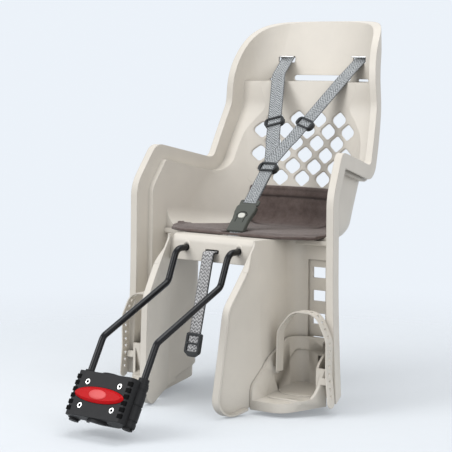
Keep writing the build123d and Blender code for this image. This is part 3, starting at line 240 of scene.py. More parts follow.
# Leg guards' inner walls: half gap at the top and foot, with each one's splay to the front
GUARD_TOP_Z = 60.0
GUARD_FOOT_Z = -290.0
GUARD_TOP = (97.8, 0.07)
GUARD_FOOT = (112.0, 0.32)
GUARD_BROW = (-8.0, 15.0)
GUARD_KNEE = (-88.0, -92.0)
GUARD_LIP = 10.0
FOLD_FROM = 0.10
FOLD_TO = 0.44
FOLD_STEPS = 12
FOLD_SET = 0.05
FOLD_START = 0.4
FOLD_ROOT = 1.5
WALL = 4.0

# Fork holes in the front lip, and the lip's face: y at level nought, and its lean
ROD_X = 59.0
ROD_Z = -1.0
ROD_RIM = 8.4
ROD_BEAD = 1.7
ROD_BROW = (0.35, 0.25)
ROD_SINK = 0.5
ROD_SIDES = 32
BEAD_SIDES = 8
LIP_FACE = (-3.83, 8 / 46)

# Diamond openings in the back: half sizes of the diamond inside the round corners
DIAMOND_CORE = (9.4, 7.37)
DIAMOND_ROUND = 9.0
DIAMOND_PITCH = 49.7
DIAMOND_ROW = 23.1
DIAMOND_ROWS = 6
DIAMOND_COUNT = 5
DIAMOND_STEPS = 6
LATTICE_LOW = 109.0
LATTICE_AHEAD = 200
LATTICE_BEHIND = 450
LATTICE_WALL = (1.5, 9)
RIM_IN = 1.5
RIM_OUT = 1.0
RIM_TUCK = 0.35
RIM_LIP = 0.7

# Foot rests: edge of the outer wing in side view, and the floor's slope
WING_EDGE = [
    (5, -257),
    (17, -257),
    (23, -249),
    (28, -237),
    (31, -222),
    (36, -207),
    (48, -196),
    (70, -186),
    (92, -172),
    (100, -150),
    (5, -150),
]
WING_IN = 194.0
WING_OUT = 246.0
RIB_END = [(188.0, -8), (195.3, 2), (206, 2), (206, -8)]
RIB_END_Z = (-275, -250)
FLOOR_TOE = (-30.0, -264.0)
FLOOR_RISE = 17 / 137.2
CUP_LINE = [(120, 46), (123, 35), (134, 27), (150, 23), (168, 23), (186, 27), (198, 35), (204, 46)]
CUP_BENDS = [12] * 6
CUP_STEP = 4.0
CUP_RISE = 0.3
CUP_BEAD = 1.2
HEEL_ROWS = range(30, 103, 6)
HEEL_CELLS = 8
HEEL_IN = (113.2, 0.05)
HEEL_OUT = (210.5, -0.2)
HEEL_ROUND = 27.0
HEEL_TURN = 78.0
HEEL_SINK = 0.6
HEEL_DISH = 1.6
HEEL_EASE = 20
HEEL_THICK = 2.4
RIB = (157.5, -3.0)
RIB_HALF = 31.0
RIB_ROUND = 3.4
RIB_SIDES = 24
RIB_RISE = ((1.0, -1.0), (1.0, 1.2), (0.85, 2.2), (0.5, 2.5))

# Cushion, in seat millimetres
CUSHION_OUTLINE = [
    (-108, 320),
    (-108, 246),
    (-172, 126),
    (-160, 98),
    (-142, 72),
    (-118, 54),
    (-94, 45),
    (94, 45),
    (118, 54),
    (142, 72),
    (160, 98),
    (172, 126),
    (108, 246),
    (108, 320),
]
CUSHION_TOP = 95.0
VOXEL = 3.5 * MM
SWELL = 3.0
SWELL_REACH = 18
CLOTH_QUALITY = 4
CLOTH_PRESSURE = 4
CLOTH_FRAMES = 20
CHILD = (0, 150, 190)
FACING_CHILD = 0.25
SEAM_TOP = 72.0
SEAM_TOP_WIDE = 2.4
SEAM_TOP_FROM = 200
SEAM_FOLD = 232
SEAM_FOLD_BOW = 0.002
SEAM_FOLD_WIDE = 3.2
SEAM_FOLD_UNDER = 50
SEAM_HALF = 96.0
SEAM_DEEP = 2.4
ROLL_DEEP = 2.6
ROLL_REACH = 7
BIND_AT = 9
BIND_WIDE = 2.0
BIND_DEEP = 0.8
BIND_MARK = 0.35


def at(x, y, z):
    """A point given in the seat's own millimetres."""
    return SEAT + Vector((x, y, z)) * MM


def block_at(x, along, depth):
    """A point given in the clamp block's own millimetres."""
    up = Vector((0, math.sin(TUBE_LEAN), math.cos(TUBE_LEAN)))
    rear = Vector((0, math.cos(TUBE_LEAN), -math.sin(TUBE_LEAN)))
    return (Vector((x, 0, 0)) + up * along + rear * depth) * MM


def buckle_at(x, along, rise):
    """A point on or over the buckle's face, rise from its middle plane."""
    up = Vector((0, math.cos(BUCKLE_LEAN), math.sin(BUCKLE_LEAN)))
    out = Vector((0, -math.sin(BUCKLE_LEAN), math.cos(BUCKLE_LEAN)))
    return at(*BUCKLE_FOOT) + (Vector((x, 0, 0)) + up * along + out * rise) * MM


def aim(obj, target):
    """Turns a lamp or camera to look at a point."""
    obj.rotation_euler = (Vector(target) - obj.location).to_track_quat("-Z", "Y").to_euler()


def add_camera():
    """The photograph's viewpoint."""
    data = bpy.data.cameras.new("camera")
    data.sensor_width = SENSOR_MM
    data.lens = FOCAL_PX / IMAGE_PX * SENSOR_MM
    data.shift_x = AIM_LEFT_PX / IMAGE_PX
    data.shift_y = AIM_DOWN_PX / IMAGE_PX
    data.clip_end = CLIP_END
    camera = bpy.data.objects.new("camera", data)
    bpy.context.scene.collection.objects.link(camera)
    flat = math.cos(VIEW_ELEVATION)
    back = Vector(
        (math.sin(VIEW_AZIMUTH) * flat, -math.cos(VIEW_AZIMUTH) * flat, math.sin(VIEW_ELEVATION))
    )
    camera.location = SEAT + back * VIEW_DISTANCE
    aim(camera, SEAT)
    bpy.context.scene.camera = camera


def add_lamps():
    """Square soft boxes aimed at the seat."""
    for name, (place, size, power) in LAMPS.items():
        data = bpy.data.lights.new(name, "AREA")
        data.size = size
        data.energy = power
        lamp = bpy.data.objects.new(name, data)
        lamp.location = SEAT + Vector(place)
        bpy.context.scene.collection.objects.link(lamp)
        aim(lamp, SEAT + Vector(LAMP_AIM))


def add_world():
    """Pale sky: the background's colour to the camera and in reflections, plain light elsewhere."""
    world = bpy.data.worlds.new("studio")
    bpy.context.scene.world = world
    world.use_nodes = True
    tree = world.node_tree
    tree.nodes.clear()
    out = tree.nodes.new("ShaderNodeOutputWorld")
    mix = tree.nodes.new("ShaderNodeMixShader")
    path = tree.nodes.new("ShaderNodeLightPath")
    light = tree.nodes.new("ShaderNodeBackground")
    light.inputs["Color"].default_value = (1, 1, 1, 1)
    light.inputs["Strength"].default_value = SKY_LIGHT
    seen = tree.nodes.new("ShaderNodeBackground")
    seen.inputs["Color"].default_value = BACKGROUND
    seen.inputs["Strength"].default_value = 1.0
    clear = tree.nodes.new("ShaderNodeMath")
    clear.operation = "MAXIMUM"
    tree.links.new(path.outputs["Is Camera Ray"], clear.inputs[0])
    tree.links.new(path.outputs["Is Transmission Ray"], clear.inputs[1])
    shown = tree.nodes.new("ShaderNodeMath")
    shown.operation = "MAXIMUM"
    tree.links.new(clear.outputs[0], shown.inputs[0])
    tree.links.new(path.outputs["Is Glossy Ray"], shown.inputs[1])
    tree.links.new(shown.outputs[0], mix.inputs["Fac"])
    tree.links.new(light.outputs[0], mix.inputs[1])
    tree.links.new(seen.outputs[0], mix.inputs[2])
    tree.links.new(mix.outputs[0], out.inputs["Surface"])


class Look:
    """A node material under construction."""

    def __init__(self, name):
        self.material = bpy.data.materials.new(name)
        self.material.use_nodes = True
        self.tree = self.material.node_tree
        self.shader = self.tree.nodes["Principled BSDF"]
        self.place = self.tree.nodes.new("ShaderNodeTexCoord")

    def link(self, a, b):
        self.tree.links.new(a, b)

    def noise(self, scale, detail=3.0, rough=0.55):
        node = self.tree.nodes.new("ShaderNodeTexNoise")
        node.inputs["Scale"].default_value = scale
        node.inputs["Detail"].default_value = detail
        node.inputs["Roughness"].default_value = rough
        self.link(self.place.outputs["Object"], node.inputs["Vector"])
        return node.outputs["Fac"]

    def ramp(self, value, stops):
        node = self.tree.nodes.new("ShaderNodeValToRGB")
        node.color_ramp.elements[0].position = stops[0][0]
        node.color_ramp.elements[0].color = (*stops[0][1], 1)
        node.color_ramp.elements[1].position = stops[-1][0]
        node.color_ramp.elements[1].color = (*stops[-1][1], 1)
        for position, colour in stops[1:-1]:
            node.color_ramp.elements.new(position).color = (*colour, 1)
        self.link(value, node.inputs["Fac"])
        return node.outputs["Color"]

    def math(self, operation, a, b):
        node = self.tree.nodes.new("ShaderNodeMath")
        node.operation = operation
        for socket, value in zip(node.inputs, (a, b)):
            if isinstance(value, (int, float)):
                socket.default_value = value
            else:
                self.link(value, socket)
        return node.outputs[0]

    def spread(self, value, low, high):
        node = self.tree.nodes.new("ShaderNodeMapRange")
        node.inputs["To Min"].default_value = low
        node.inputs["To Max"].default_value = high
        self.link(value, node.inputs["Value"])
        return node.outputs["Result"]

    def mix(self, kind, factor, a, b):
        node = self.tree.nodes.new("ShaderNodeMix")
        node.data_type = "RGBA"
        node.blend_type = kind
        if isinstance(factor, (int, float)):
            node.inputs["Factor"].default_value = factor
        else:
            self.link(factor, node.inputs["Factor"])
        for socket, value in ((node.inputs[6], a), (node.inputs[7], b)):
            if isinstance(value, tuple):
                socket.default_value = (*value, 1)
            else:
                self.link(value, socket)
        return node.outputs[2]

    def relief(self, height, distance, edge=0.0):
        bump = self.tree.nodes.new("ShaderNodeBump")
        bump.inputs["Strength"].default_value = 1.0
        bump.inputs["Distance"].default_value = distance
        self.link(height, bump.inputs["Height"])
        if edge:
            bevel = self.tree.nodes.new("ShaderNodeBevel")
            bevel.samples = 4
            bevel.inputs["Radius"].default_value = edge
            self.link(bevel.outputs["Normal"], bump.inputs["Normal"])
        self.link(bump.outputs["Normal"], self.shader.inputs["Normal"])


def shade(colour, share):
    """A colour made darker or lighter."""
    return tuple(c * share for c in colour)


def plastic(name, colour, rough, grain, depth, edge, metal=0.0, gloss=0.5, shade_in_hollows=0.0):
    """Moulded plastic, paint or metal: fine grain, cloudy tint, worn gloss, soft edges, painted shade
    that darkens the colour in hollows.
    """
    look = Look(name)
    clouds = [shade(colour, share) for share in CLOUD_TINT]
    tint = look.ramp(look.noise(*CLOUD), list(zip(CLOUD_STOPS, clouds)))
    # Painted shade: the colour is darkened in hollows and under parts by ambient occlusion
    if shade_in_hollows:
        occlusion = look.tree.nodes.new("ShaderNodeAmbientOcclusion")
        occlusion.samples = 8
        occlusion.inputs["Distance"].default_value = PAINTED_SHADE_REACH
        shade_tones = [(1 - shade_in_hollows, 1 - shade_in_hollows, 1 - shade_in_hollows), (1, 1, 1)]
        painted_hollow_shade = look.ramp(occlusion.outputs["AO"], list(zip(PAINTED_SHADE_STOPS, shade_tones)))
        tint = look.mix("MULTIPLY", 1.0, tint, painted_hollow_shade)
    look.link(tint, look.shader.inputs["Base Color"])
    low, high = SCUFF_RANGE
    worn = look.spread(look.noise(*SCUFF), rough + low, rough + high)
    look.link(worn, look.shader.inputs["Roughness"])
    look.shader.inputs["Metallic"].default_value = metal
    look.shader.inputs["Specular IOR Level"].default_value = gloss
    look.relief(look.noise(grain, GRAIN_DETAIL), depth, edge)
    return look.material


def suede(name, dark, light):
    """Brushed suede with a nap, darker in its seams."""
    look = Look(name)
    colour = look.ramp(look.noise(*NAP), list(zip(NAP_STOPS, (dark, light))))
    seam = look.tree.nodes.new("ShaderNodeAttribute")
    seam.attribute_name = "seam"
    sewn = look.math("MULTIPLY", seam.outputs["Fac"], SEAM_SHARE)
    colour = look.mix("MIX", sewn, colour, shade(dark, SEAM_DARK))
    look.link(colour, look.shader.inputs["Base Color"])
    look.shader.inputs["Roughness"].default_value = 0.95
    look.shader.inputs["Sheen Weight"].default_value = 0.25
    look.shader.inputs["Sheen Roughness"].default_value = 0.5
    look.shader.inputs["Specular IOR Level"].default_value = 0.2
    look.relief(look.noise(*FUZZ), FUZZ_DEPTH)
    return look.material


def webbing(name, dark, light, column, pitch, slant, fleck, grain, width):
    """Woven belt: slanting yarns that turn at each column's edge, pale fibres and dark edges."""
    look = Look(name)
    split = look.tree.nodes.new("ShaderNodeSeparateXYZ")
    look.link(look.place.outputs["UV"], split.inputs[0])
    fold = look.math("PINGPONG", split.outputs["X"], column)
    phase = look.math("ADD", split.outputs["Y"], look.math("MULTIPLY", fold, slant))
    yarn = look.math("MULTIPLY", look.math("PINGPONG", phase, pitch / 2), 2 / pitch)
    fibre = look.spread(look.noise(grain, 3.0, 0.7), *FIBRE_RANGE)
    plain = look.math("MULTIPLY", yarn, 1 - fleck)
    woven = look.math("ADD", plain, look.math("MULTIPLY", fibre, fleck))
    middle = tuple((a + b) / 2 for a, b in zip(dark, light))
    colour = look.ramp(woven, list(zip(WEAVE_STOPS, (dark, middle, light))))
    # Colour darker towards both edges of the strap
    inset = look.math("PINGPONG", split.outputs["X"], width * MM / 2)
    inset = look.math("MULTIPLY", inset, 1 / EDGE_DARK_REACH)
    edge = look.ramp(inset, list(zip(EDGE_STOPS, (EDGE_DARK, (1, 1, 1)))))
    look.link(look.mix("MULTIPLY", 1.0, colour, edge), look.shader.inputs["Base Color"])
    look.shader.inputs["Roughness"].default_value = 0.8
    look.shader.inputs["Sheen Weight"].default_value = 0.15
    look.relief(woven, WEAVE_DEPTH)
    return look.material


def floor_look(name, colour):
    """Pale paper that fades out into the background away from the object."""
    look = Look(name)
    look.shader.inputs["Roughness"].default_value = 0.9
    tint = look.ramp(look.noise(*PAPER), list(zip(CLOUD_STOPS, (shade(colour, 0.99), colour))))
    look.link(tint, look.shader.inputs["Base Color"])
    reach = look.tree.nodes.new("ShaderNodeVectorMath")
    reach.operation = "LENGTH"
    look.link(look.place.outputs["Object"], reach.inputs[0])
    fade = look.tree.nodes.new("ShaderNodeMapRange")
    fade.interpolation_type = "SMOOTHSTEP"
    fade.inputs["From Min"].default_value = FADE_FROM
    fade.inputs["From Max"].default_value = FADE_TO
    fade.inputs["To Min"].default_value = FLOOR_ALPHA
    fade.inputs["To Max"].default_value = 0.0
    look.link(reach.outputs["Value"], fade.inputs["Value"])
    look.link(fade.outputs["Result"], look.shader.inputs["Alpha"])
    look.relief(look.noise(*PAPER_GRAIN), PAPER_DEPTH)
    return look.material


# Plastics and metals: colour, roughness, grain and its depth, soft edge, metal, gloss, painted shade in
# hollows
PLASTICS = {
    "shell": (CREAM, 0.42, 1200.0, 0.00004, 0.0022, 0.0, 0.5, 0.42),
    "strap_rubber": (shade(CREAM, 0.98), 0.55, 1500.0, 0.00006, 0.0006),
    "dark_plastic": ((0.030, 0.032, 0.034), 0.4, 1300.0, 0.00006, 0.0014, 0.0, 0.3),
    "buckle": ((0.088, 0.094, 0.083), 0.55, 1300.0, 0.00008, 0.0012, 0.0, 0.25),
    "pale_plastic": ((0.66, 0.66, 0.61), 0.35, 1300.0, 0.00003, 0.0012),
    "rod": ((0.005, 0.005, 0.006), 0.17, 700.0, 0.00003, 0.0004, 0.0, 0.28),
    "block": ((0.021, 0.021, 0.022), 0.45, 1000.0, 0.0001, 0.0014, 0.0, 0.15),
    # Near black, painted shade: the block's notches, the screws' sockets, the gap round the buckle's
    # button
    "shade_black": ((0.002, 0.002, 0.002), 0.6, 1000.0, 0.0001, 0.0006, 0.0, 0.06),
    "red_plastic": ((0.55, 0.006, 0.009), 0.28, 900.0, 0.00002, 0.0016, 0.0, 0.07),
    # Lighter red: painted highlight on the release button
    "red_painted_highlight": ((0.74, 0.09, 0.09), 0.3, 900.0, 0.00002, 0.001, 0.0, 0.25),
    "steel": ((0.78, 0.78, 0.77), 0.3, 1600.0, 0.00004, 0.0005, 0.85),
    "pad": ((0.014, 0.014, 0.014), 0.7, 800.0, 0.0002, 0.0008, 0.0, 0.2),
}
# Webbings: dark and light yarns, column, pitch, slant, share and grain of the fibres, width
SHOULDER_YARNS = ((0.03, 0.036, 0.042), (0.56, 0.59, 0.61))
SAFETY_YARNS = ((0.03, 0.03, 0.034), (0.74, 0.74, 0.75))
TAIL_YARNS = ((0.006, 0.008, 0.010), (0.05, 0.06, 0.066))
WEBBINGS = {
    "webbing": (*SHOULDER_YARNS, 0.0075, 0.0060, 1.2, 0.5, 520.0, STRAP_WIDTH),
    "webbing_light": (*SAFETY_YARNS, 0.0042, 0.0064, 1.1, 0.5, 480.0, NARROW_WIDTH),
    "webbing_dark": (*TAIL_YARNS, 0.0042, 0.0050, 1.3, 0.4, 900.0, NARROW_WIDTH),
}
LOOKS = {name: plastic(name, *values) for name, values in PLASTICS.items()}
LOOKS["cushion"] = suede("cushion", (0.085, 0.062, 0.056), (0.160, 0.123, 0.113))
LOOKS.update({name: webbing(name, *values) for name, values in WEBBINGS.items()})
NODE_LOOKS = {
    "shell": ["seat_shell"],
    "dark_plastic": [
        "strap_anchor_left",
        "strap_anchor_right",
        "crotch_anchor",
        "safety_anchor",
        "adjuster_left",
        "adjuster_right",
        "adjuster_lower",
        "safety_buckle",
    ],
    "buckle": ["buckle_body", "buckle_tongue"],
    "pale_plastic": ["buckle_button"],
    "rod": ["fork"],
    "block": ["block_housing", "block_jaw", "fork_bridge"],
    "pad": ["jaw_pad_front", "jaw_pad_rear"],
    "red_plastic": ["release_button"],
    "steel": [
        "latch_left",
        "latch_right",
        "clamp_screws",
        "clamp_nuts",
        "fork_screws",
    ],
}


def dress_nodes():
    """Gives every solid that stays in view its material."""
    for look, names in NODE_LOOKS.items():
        for name in names:
            for place in nodes[name].material_slots:
                place.material = LOOKS[look]


def piece(name, mesh, look, body, *replaced):
    """A finished mesh in the scene, riding on a body."""
    obj = bpy.data.objects.new(name, mesh)
    bpy.context.scene.collection.objects.link(obj)
    mesh.materials.clear()
    mesh.materials.append(LOOKS[look])
    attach(obj, body)
    if replaced:
        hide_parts(*replaced)
    return obj


def smooth(mesh, angle=40):
    """Smooth shading up to an angle between faces."""
    for face in mesh.polygons:
        face.use_smooth = True
    mesh.set_sharp_from_angle(angle=math.radians(angle))


def baked(mesh, name):
    """A mesh under its name, from one that was under construction."""
    data = bpy.data.meshes.new(name)
    mesh.to_mesh(data)
    mesh.free()
    return data


def thicken(obj, thick):
    """Gives a sheet its thickness in millimetres, half on each side."""
    sides = obj.modifiers.new("thickness", "SOLIDIFY")
    sides.thickness = thick * MM
    sides.offset = 0


def round_edges(obj, width):
    """Rounds a piece's sharp edges."""
    bevel = obj.modifiers.new("edges", "BEVEL")
    bevel.width = width
    bevel.segments = 2
    bevel.limit_method = "ANGLE"


def circle(count):
    """Even angles round a circle."""
    return [math.tau * i / count for i in range(count)]


def ease(share):
    """Smooth step from nought to one."""
    share = max(0.0, min(1.0, share))
    return share * share * (3 - 2 * share)


def rounded(route, radii, step=3.0):
    """A route's middle line in millimetres: straight runs with round corners, a point every step."""
    points = [Vector(p) for p in route]
    line = [points[0]]
    for before, corner, after, radius in zip(points, points[1:], points[2:], radii):
        way_in = (corner - before).normalized()
        way_out = (after - corner).normalized()
        turn = way_in.angle(way_out)
        reach = radius * math.tan(turn / 2)
        first = corner - way_in * reach
        last = corner + way_out * reach
        for i in range(BEND_STEPS + 1):
            t = i / BEND_STEPS
            line.append(first * (1 - t) ** 2 + corner * 2 * t * (1 - t) + last * t * t)
    line.append(points[-1])
    even = [line[0]]
    for start, end in zip(line, line[1:]):
        count = max(1, round((end - start).length / step))
        for i in range(1, count + 1):
            even.append(start.lerp(end, i / count))
    return even


def frames(line, across=None):
    """Point, strap normal and strap width direction along a line, with the length so far."""
    found = []
    run = 0.0
    for i, point in enumerate(line):
        tangent = (line[min(i + 1, len(line) - 1)] - line[max(i - 1, 0)]).normalized()
        if across is None:
            out = Vector((0, -tangent.z, tangent.y)).normalized()
        else:
            out = tangent.cross(across).normalized()
        side = tangent.cross(out)
        if i:
            run += (point - line[i - 1]).length
        found.append((point, out, side, run))
    return found


def belt(name, route, radii, width, look, lift, *replaced):
    """Woven belt along a route: flat, with thin rolled edges, lifted one way near and one far."""
    half = width / 2
    thick = STRAP_THICK / 2
    profile = list(zip(BELT_ACROSS, BELT_RISE))
    section = [(half * s, thick * r) for s, r in profile]
    section += [(half * s, -thick * r) for s, r in profile[-2:0:-1]]
    mesh = bmesh.new()
    cover = mesh.loops.layers.uv.new("weave")
    rings = []
    near, far = lift
    for point, out, side, run in frames(rounded(route, radii)):
        share = ease((run - CROSS_FROM) / (CROSS_TO - CROSS_FROM))
        middle = point + out * (near + (far - near) * share)
        ring = [mesh.verts.new(at(*(middle + side * x + out * z))) for x, z in section]
        rings.append((ring, run))
    count = len(section)
    for (ring, run), (after, later) in zip(rings, rings[1:]):
        for k in range(count):
            beside = (k + 1) % count
            face = mesh.faces.new((ring[k], ring[beside], after[beside], after[k]))
            spots = ((k, run), (beside, run), (beside, later), (k, later))
            for corner, (i, length) in zip(face.loops, spots):
                corner[cover].uv = ((section[i][0] + half) * MM, length * MM)
    mesh.faces.new(rings[0][0][::-1])
    mesh.faces.new(rings[-1][0])
    bmesh.ops.recalc_face_normals(mesh, faces=mesh.faces)
    data = baked(mesh, name)
    smooth(data, angle=50)
    obj = piece(name, data, look, "seat", *replaced)
    return obj


def add_belts():
    """Shoulder, crotch and safety webbing."""
    flat = (0, 0)
    for hand, side in SIDES:
        route = [(hand * x, y, z) for x, y, z in (TONGUE_BAR, HARNESS_JOIN, LEDGE, BELT_END)]
        lift = (hand * LAYER, -hand * LAYER)
        node = f"shoulder_strap_{side}"
        belt(f"webbing_{side}", route, SHOULDER_BENDS, STRAP_WIDTH, "webbing", lift, node)
    narrow = (
        ("webbing_crotch", CROTCH_ROUTE, CROTCH_BENDS, "webbing", "crotch_strap"),
        ("webbing_safety", SAFETY_ROUTE, SAFETY_BENDS, "webbing_light", "safety_strap"),
        ("webbing_tail", TAIL_ROUTE, SAFETY_BENDS, "webbing_dark", "safety_tail"),
    )
    for name, route, bends, look, node in narrow:
        belt(name, route, bends, NARROW_WIDTH, look, flat, node)


def pierced(name, loops, scale, place):
    """A sheet with holes: filled between flat outlines, then put in place point by point."""
    mesh = bmesh.new()
    spots = []
    edges = []
    for loop in loops:
        verts = [mesh.verts.new((a * scale, b * scale, 0)) for a, b in loop]
        spots += list(zip(verts, loop))
        edges += [mesh.edges.new((a, b)) for a, b in zip(verts, verts[1:] + verts[:1])]
    bmesh.ops.triangle_fill(mesh, edges=edges, use_beauty=True)
    for vert, (a, b) in spots:
        vert.co = place(a, b)
    bmesh.ops.recalc_face_normals(mesh, faces=mesh.faces)
    return baked(mesh, name)


def add_foot_strap(hand, side):
    """Soft perforated strap over a foot: one strip with a row of three-sided holes."""
    route = [(hand * x, FOOT_Y, z) for x, z in FOOT_ROUTE]
    marks = frames(rounded(route, FOOT_BENDS, FOOT_STEP), Vector((0, 1, 0)))
    length = marks[-1][-1]

    def on_strap(run, x):
        run = min(run, length)
        spot = marks[-1][0]
        for (p, _, _, a), (q, _, _, b) in zip(marks, marks[1:]):
            if run <= b:
                spot = p.lerp(q, (run - a) / (b - a))
                break
        return at(*(spot + Vector((0, x, 0))))

    half = FOOT_WIDTH / 2
    edge = [run for _, _, _, run in marks if run < length - half - 1]
    turns = [math.radians(90 - 180 * i / NOSE_STEPS) for i in range(NOSE_STEPS + 1)]
    nose = [(length - half + half * math.cos(a), half * math.sin(a)) for a in turns]
    outline = [(run, half) for run in edge] + nose + [(run, -half) for run in edge[::-1]]
    loops = [outline]
    run = HOLES_FROM
    while run < length - HOLES_END:
        reach = (HOLE_LONG * HOLE_SIZE, HOLE_SIZE * HOLE_WIDE)
        loops.append([(run + reach[0] * math.cos(a), reach[1] * math.sin(a)) for a in circle(3)])
        run += HOLE_PITCH
    data = pierced(f"foot_band_{side}", loops, MM, on_strap)
    obj = piece(f"foot_band_{side}", data, "strap_rubber", f"foot_{side}", f"foot_strap_{side}")
    thicken(obj, FOOT_THICK)


def edge_distance(x, y):
    """Distance from a point to the cushion's plan outline, its open rear end left out."""
    best = math.inf
    for (ax, ay), (bx, by) in zip(CUSHION_OUTLINE, CUSHION_OUTLINE[1:]):
        dx, dy = bx - ax, by - ay
        t = max(0.0, min(1.0, ((x - ax) * dx + (y - ay) * dy) / (dx * dx + dy * dy)))
        best = min(best, math.hypot(x - ax - t * dx, y - ay - t * dy))
    return best


def seam_front(x):
    """Where the cushion's sewn fold runs, in plan."""
    return SEAM_FOLD + SEAM_FOLD_BOW * x * x


def bell(distance, width):
    """A smooth bump of height one."""
    return math.exp(-((distance / width) ** 2))


def swollen(obj):
    """Blows the pad up a little as cloth and gives the points' new places."""
    cloth = obj.modifiers.new("cloth", "CLOTH")
    cloth.settings.quality = CLOTH_QUALITY
    cloth.settings.use_pressure = True
    cloth.settings.uniform_pressure_force = CLOTH_PRESSURE
    cloth.settings.effector_weights.gravity = 0
    cloth.collision_settings.use_collision = False
    for number in range(1, CLOTH_FRAMES + 1):
        bpy.context.scene.frame_set(number)
    shape = obj.evaluated_get(bpy.context.evaluated_depsgraph_get())
    places = [v.co.copy() for v in shape.data.vertices]
    obj.modifiers.remove(cloth)
    bpy.context.scene.frame_set(1)
    return places


def add_cushion():
    """Thin suede pad: remeshed from its solid, swollen as cloth, then sewn, with rolled edges."""
    source = bpy.data.objects.new("pad_source", nodes["seat_cushion"].data.copy())
    bpy.context.scene.collection.objects.link(source)
    remesh = source.modifiers.new("remesh", "REMESH")
    remesh.mode = "VOXEL"
    remesh.voxel_size = VOXEL
    shape = source.evaluated_get(bpy.context.evaluated_depsgraph_get())
    data = bpy.data.meshes.new_from_object(shape)
    bpy.data.objects.remove(source)
    obj = bpy.data.objects.new("cushion_pad", data)
    bpy.context.scene.collection.objects.link(obj)
    places = swollen(obj)
    child = at(*CHILD)
    seams = []
    for vert, place in zip(data.vertices, places):
        facing = vert.normal.dot((child - vert.co).normalized())
        spot = (vert.co - SEAT) / MM
        edge = min(edge_distance(spot.x, spot.y), CUSHION_TOP - spot.z)
        seam = 0.0
        if abs(spot.x) < SEAM_HALF and spot.y > SEAM_TOP_FROM:
            seam = bell(spot.z - SEAM_TOP, SEAM_TOP_WIDE)
        if abs(spot.x) < SEAM_HALF and spot.z < SEAM_FOLD_UNDER:
            seam = max(seam, bell(spot.y - seam_front(spot.x), SEAM_FOLD_WIDE))
        if facing > FACING_CHILD:
            rise = max(0.0, min(SWELL, (place - vert.co).dot(vert.normal) / MM))
            rise *= min(1.0, edge / SWELL_REACH)
            outside = 1 - min(edge, ROLL_REACH) / ROLL_REACH
            roll = ROLL_DEEP * (1 - math.sqrt(max(0.0, 1 - outside**2)))
            bound = bell(edge - BIND_AT, BIND_WIDE)
            vert.co += vert.normal * (rise - roll - BIND_DEEP * bound - SEAM_DEEP * seam) * MM
            seams.append(max(seam, BIND_MARK * bound))
        else:
            seams.append(0.0)
    layer = data.attributes.new("seam", "FLOAT", "POINT")
    layer.data.foreach_set("value", seams)
    data.materials.clear()
    data.materials.append(LOOKS["cushion"])
    for face in data.polygons:
        face.use_smooth = True
    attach(obj, "seat")
    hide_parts("seat_cushion")
    finer = obj.modifiers.new("finer", "SUBSURF")
    finer.levels = 1
    finer.render_levels = 1


def solid_from(name, build, look, body, width=0.0004):
    """A piece from a mesh-making function, with its edges rounded."""
    mesh = bmesh.new()
    build(mesh)
    bmesh.ops.recalc_face_normals(mesh, faces=mesh.faces)
    data = baked(mesh, name)
    smooth(data)
    obj = piece(name, data, look, body)
    round_edges(obj, width)
    return obj


def prism(mesh, near, far):
    """A closed solid between two outlines of as many points."""
    low = [mesh.verts.new(p) for p in near]
    high = [mesh.verts.new(p) for p in far]
    mesh.faces.new(low[::-1])
    mesh.faces.new(high)
    for a, b, c, d in zip(low, low[1:] + low[:1], high[1:] + high[:1], high):
        mesh.faces.new((a, b, c, d))


def slab(mesh, place, outline, low, high):
    """A solid from an outline that is placed at two depths."""
    prism(mesh, [place(a, b, low) for a, b in outline], [place(a, b, high) for a, b in outline])


def oblong(x, z, wide, tall):
    """Corners of a rectangle, from its middle and half sizes."""
    return [(x - wide, z - tall), (x + wide, z - tall), (x + wide, z + tall), (x - wide, z + tall)]


def skin(mesh, outlines, closed=False):
    """A solid through a row of outlines of as many points: capped, or joined end to end."""
    rings = [[mesh.verts.new(p) for p in outline] for outline in outlines]
    ends = rings[1:] + rings[:1] if closed else rings[1:]
    for ring, after in zip(rings, ends):
        for a, b, c, d in zip(ring, ring[1:] + ring[:1], after[1:] + after[:1], after):
            mesh.faces.new((a, b, c, d))
    if not closed:
        mesh.faces.new(rings[0][::-1])
        mesh.faces.new(rings[-1])


def block_notch_shade(mesh):
    """Black fills in the notches down both edges of the block's face and in the screws' sockets: painted
    shade.
    """
    face = -BLOCK_FRONT
    for hand in (1, -1):
        for row in range(NOTCH_SHADE_ROWS):
            along = (row - (NOTCH_SHADE_ROWS - 1) / 2) * NOTCH_SHADE_PITCH
            corners = oblong(hand * NOTCH_SHADE_X, along, *NOTCH_SHADE_HALF)
            slab(mesh, block_at, corners, face + NOTCH_SHADE_DEEP, face - NOTCH_SHADE_PROUD)
    # Painted shade: dark hexagons in the screws' sockets
    for x, along in SCREWS:
        spots = [
            (x + SOCKET_RADIUS * math.cos(a), along + SOCKET_RADIUS * math.sin(a)) for a in circle(6)
        ]
        slab(mesh, block_at, spots, face + SOCKET_DEEP, face + SOCKET_SUNK)


def arc_plate(mesh, centre, inner, outer, first, last, low, high):
    """A curved plate round an axis along the seat tube, angles in degrees from +x to the rear."""
    count = max(3, round(abs(last - first) / ARC_STEP))
    turns = [math.radians(first + (last - first) * i / count) for i in range(count + 1)]
    outline = [(centre + outer * math.cos(a), outer * math.sin(a)) for a in turns]
    outline += [(centre + inner * math.cos(a), inner * math.sin(a)) for a in turns[::-1]]
    prism(
        mesh,
        [block_at(x, low, depth) for x, depth in outline],
        [block_at(x, high, depth) for x, depth in outline],
    )


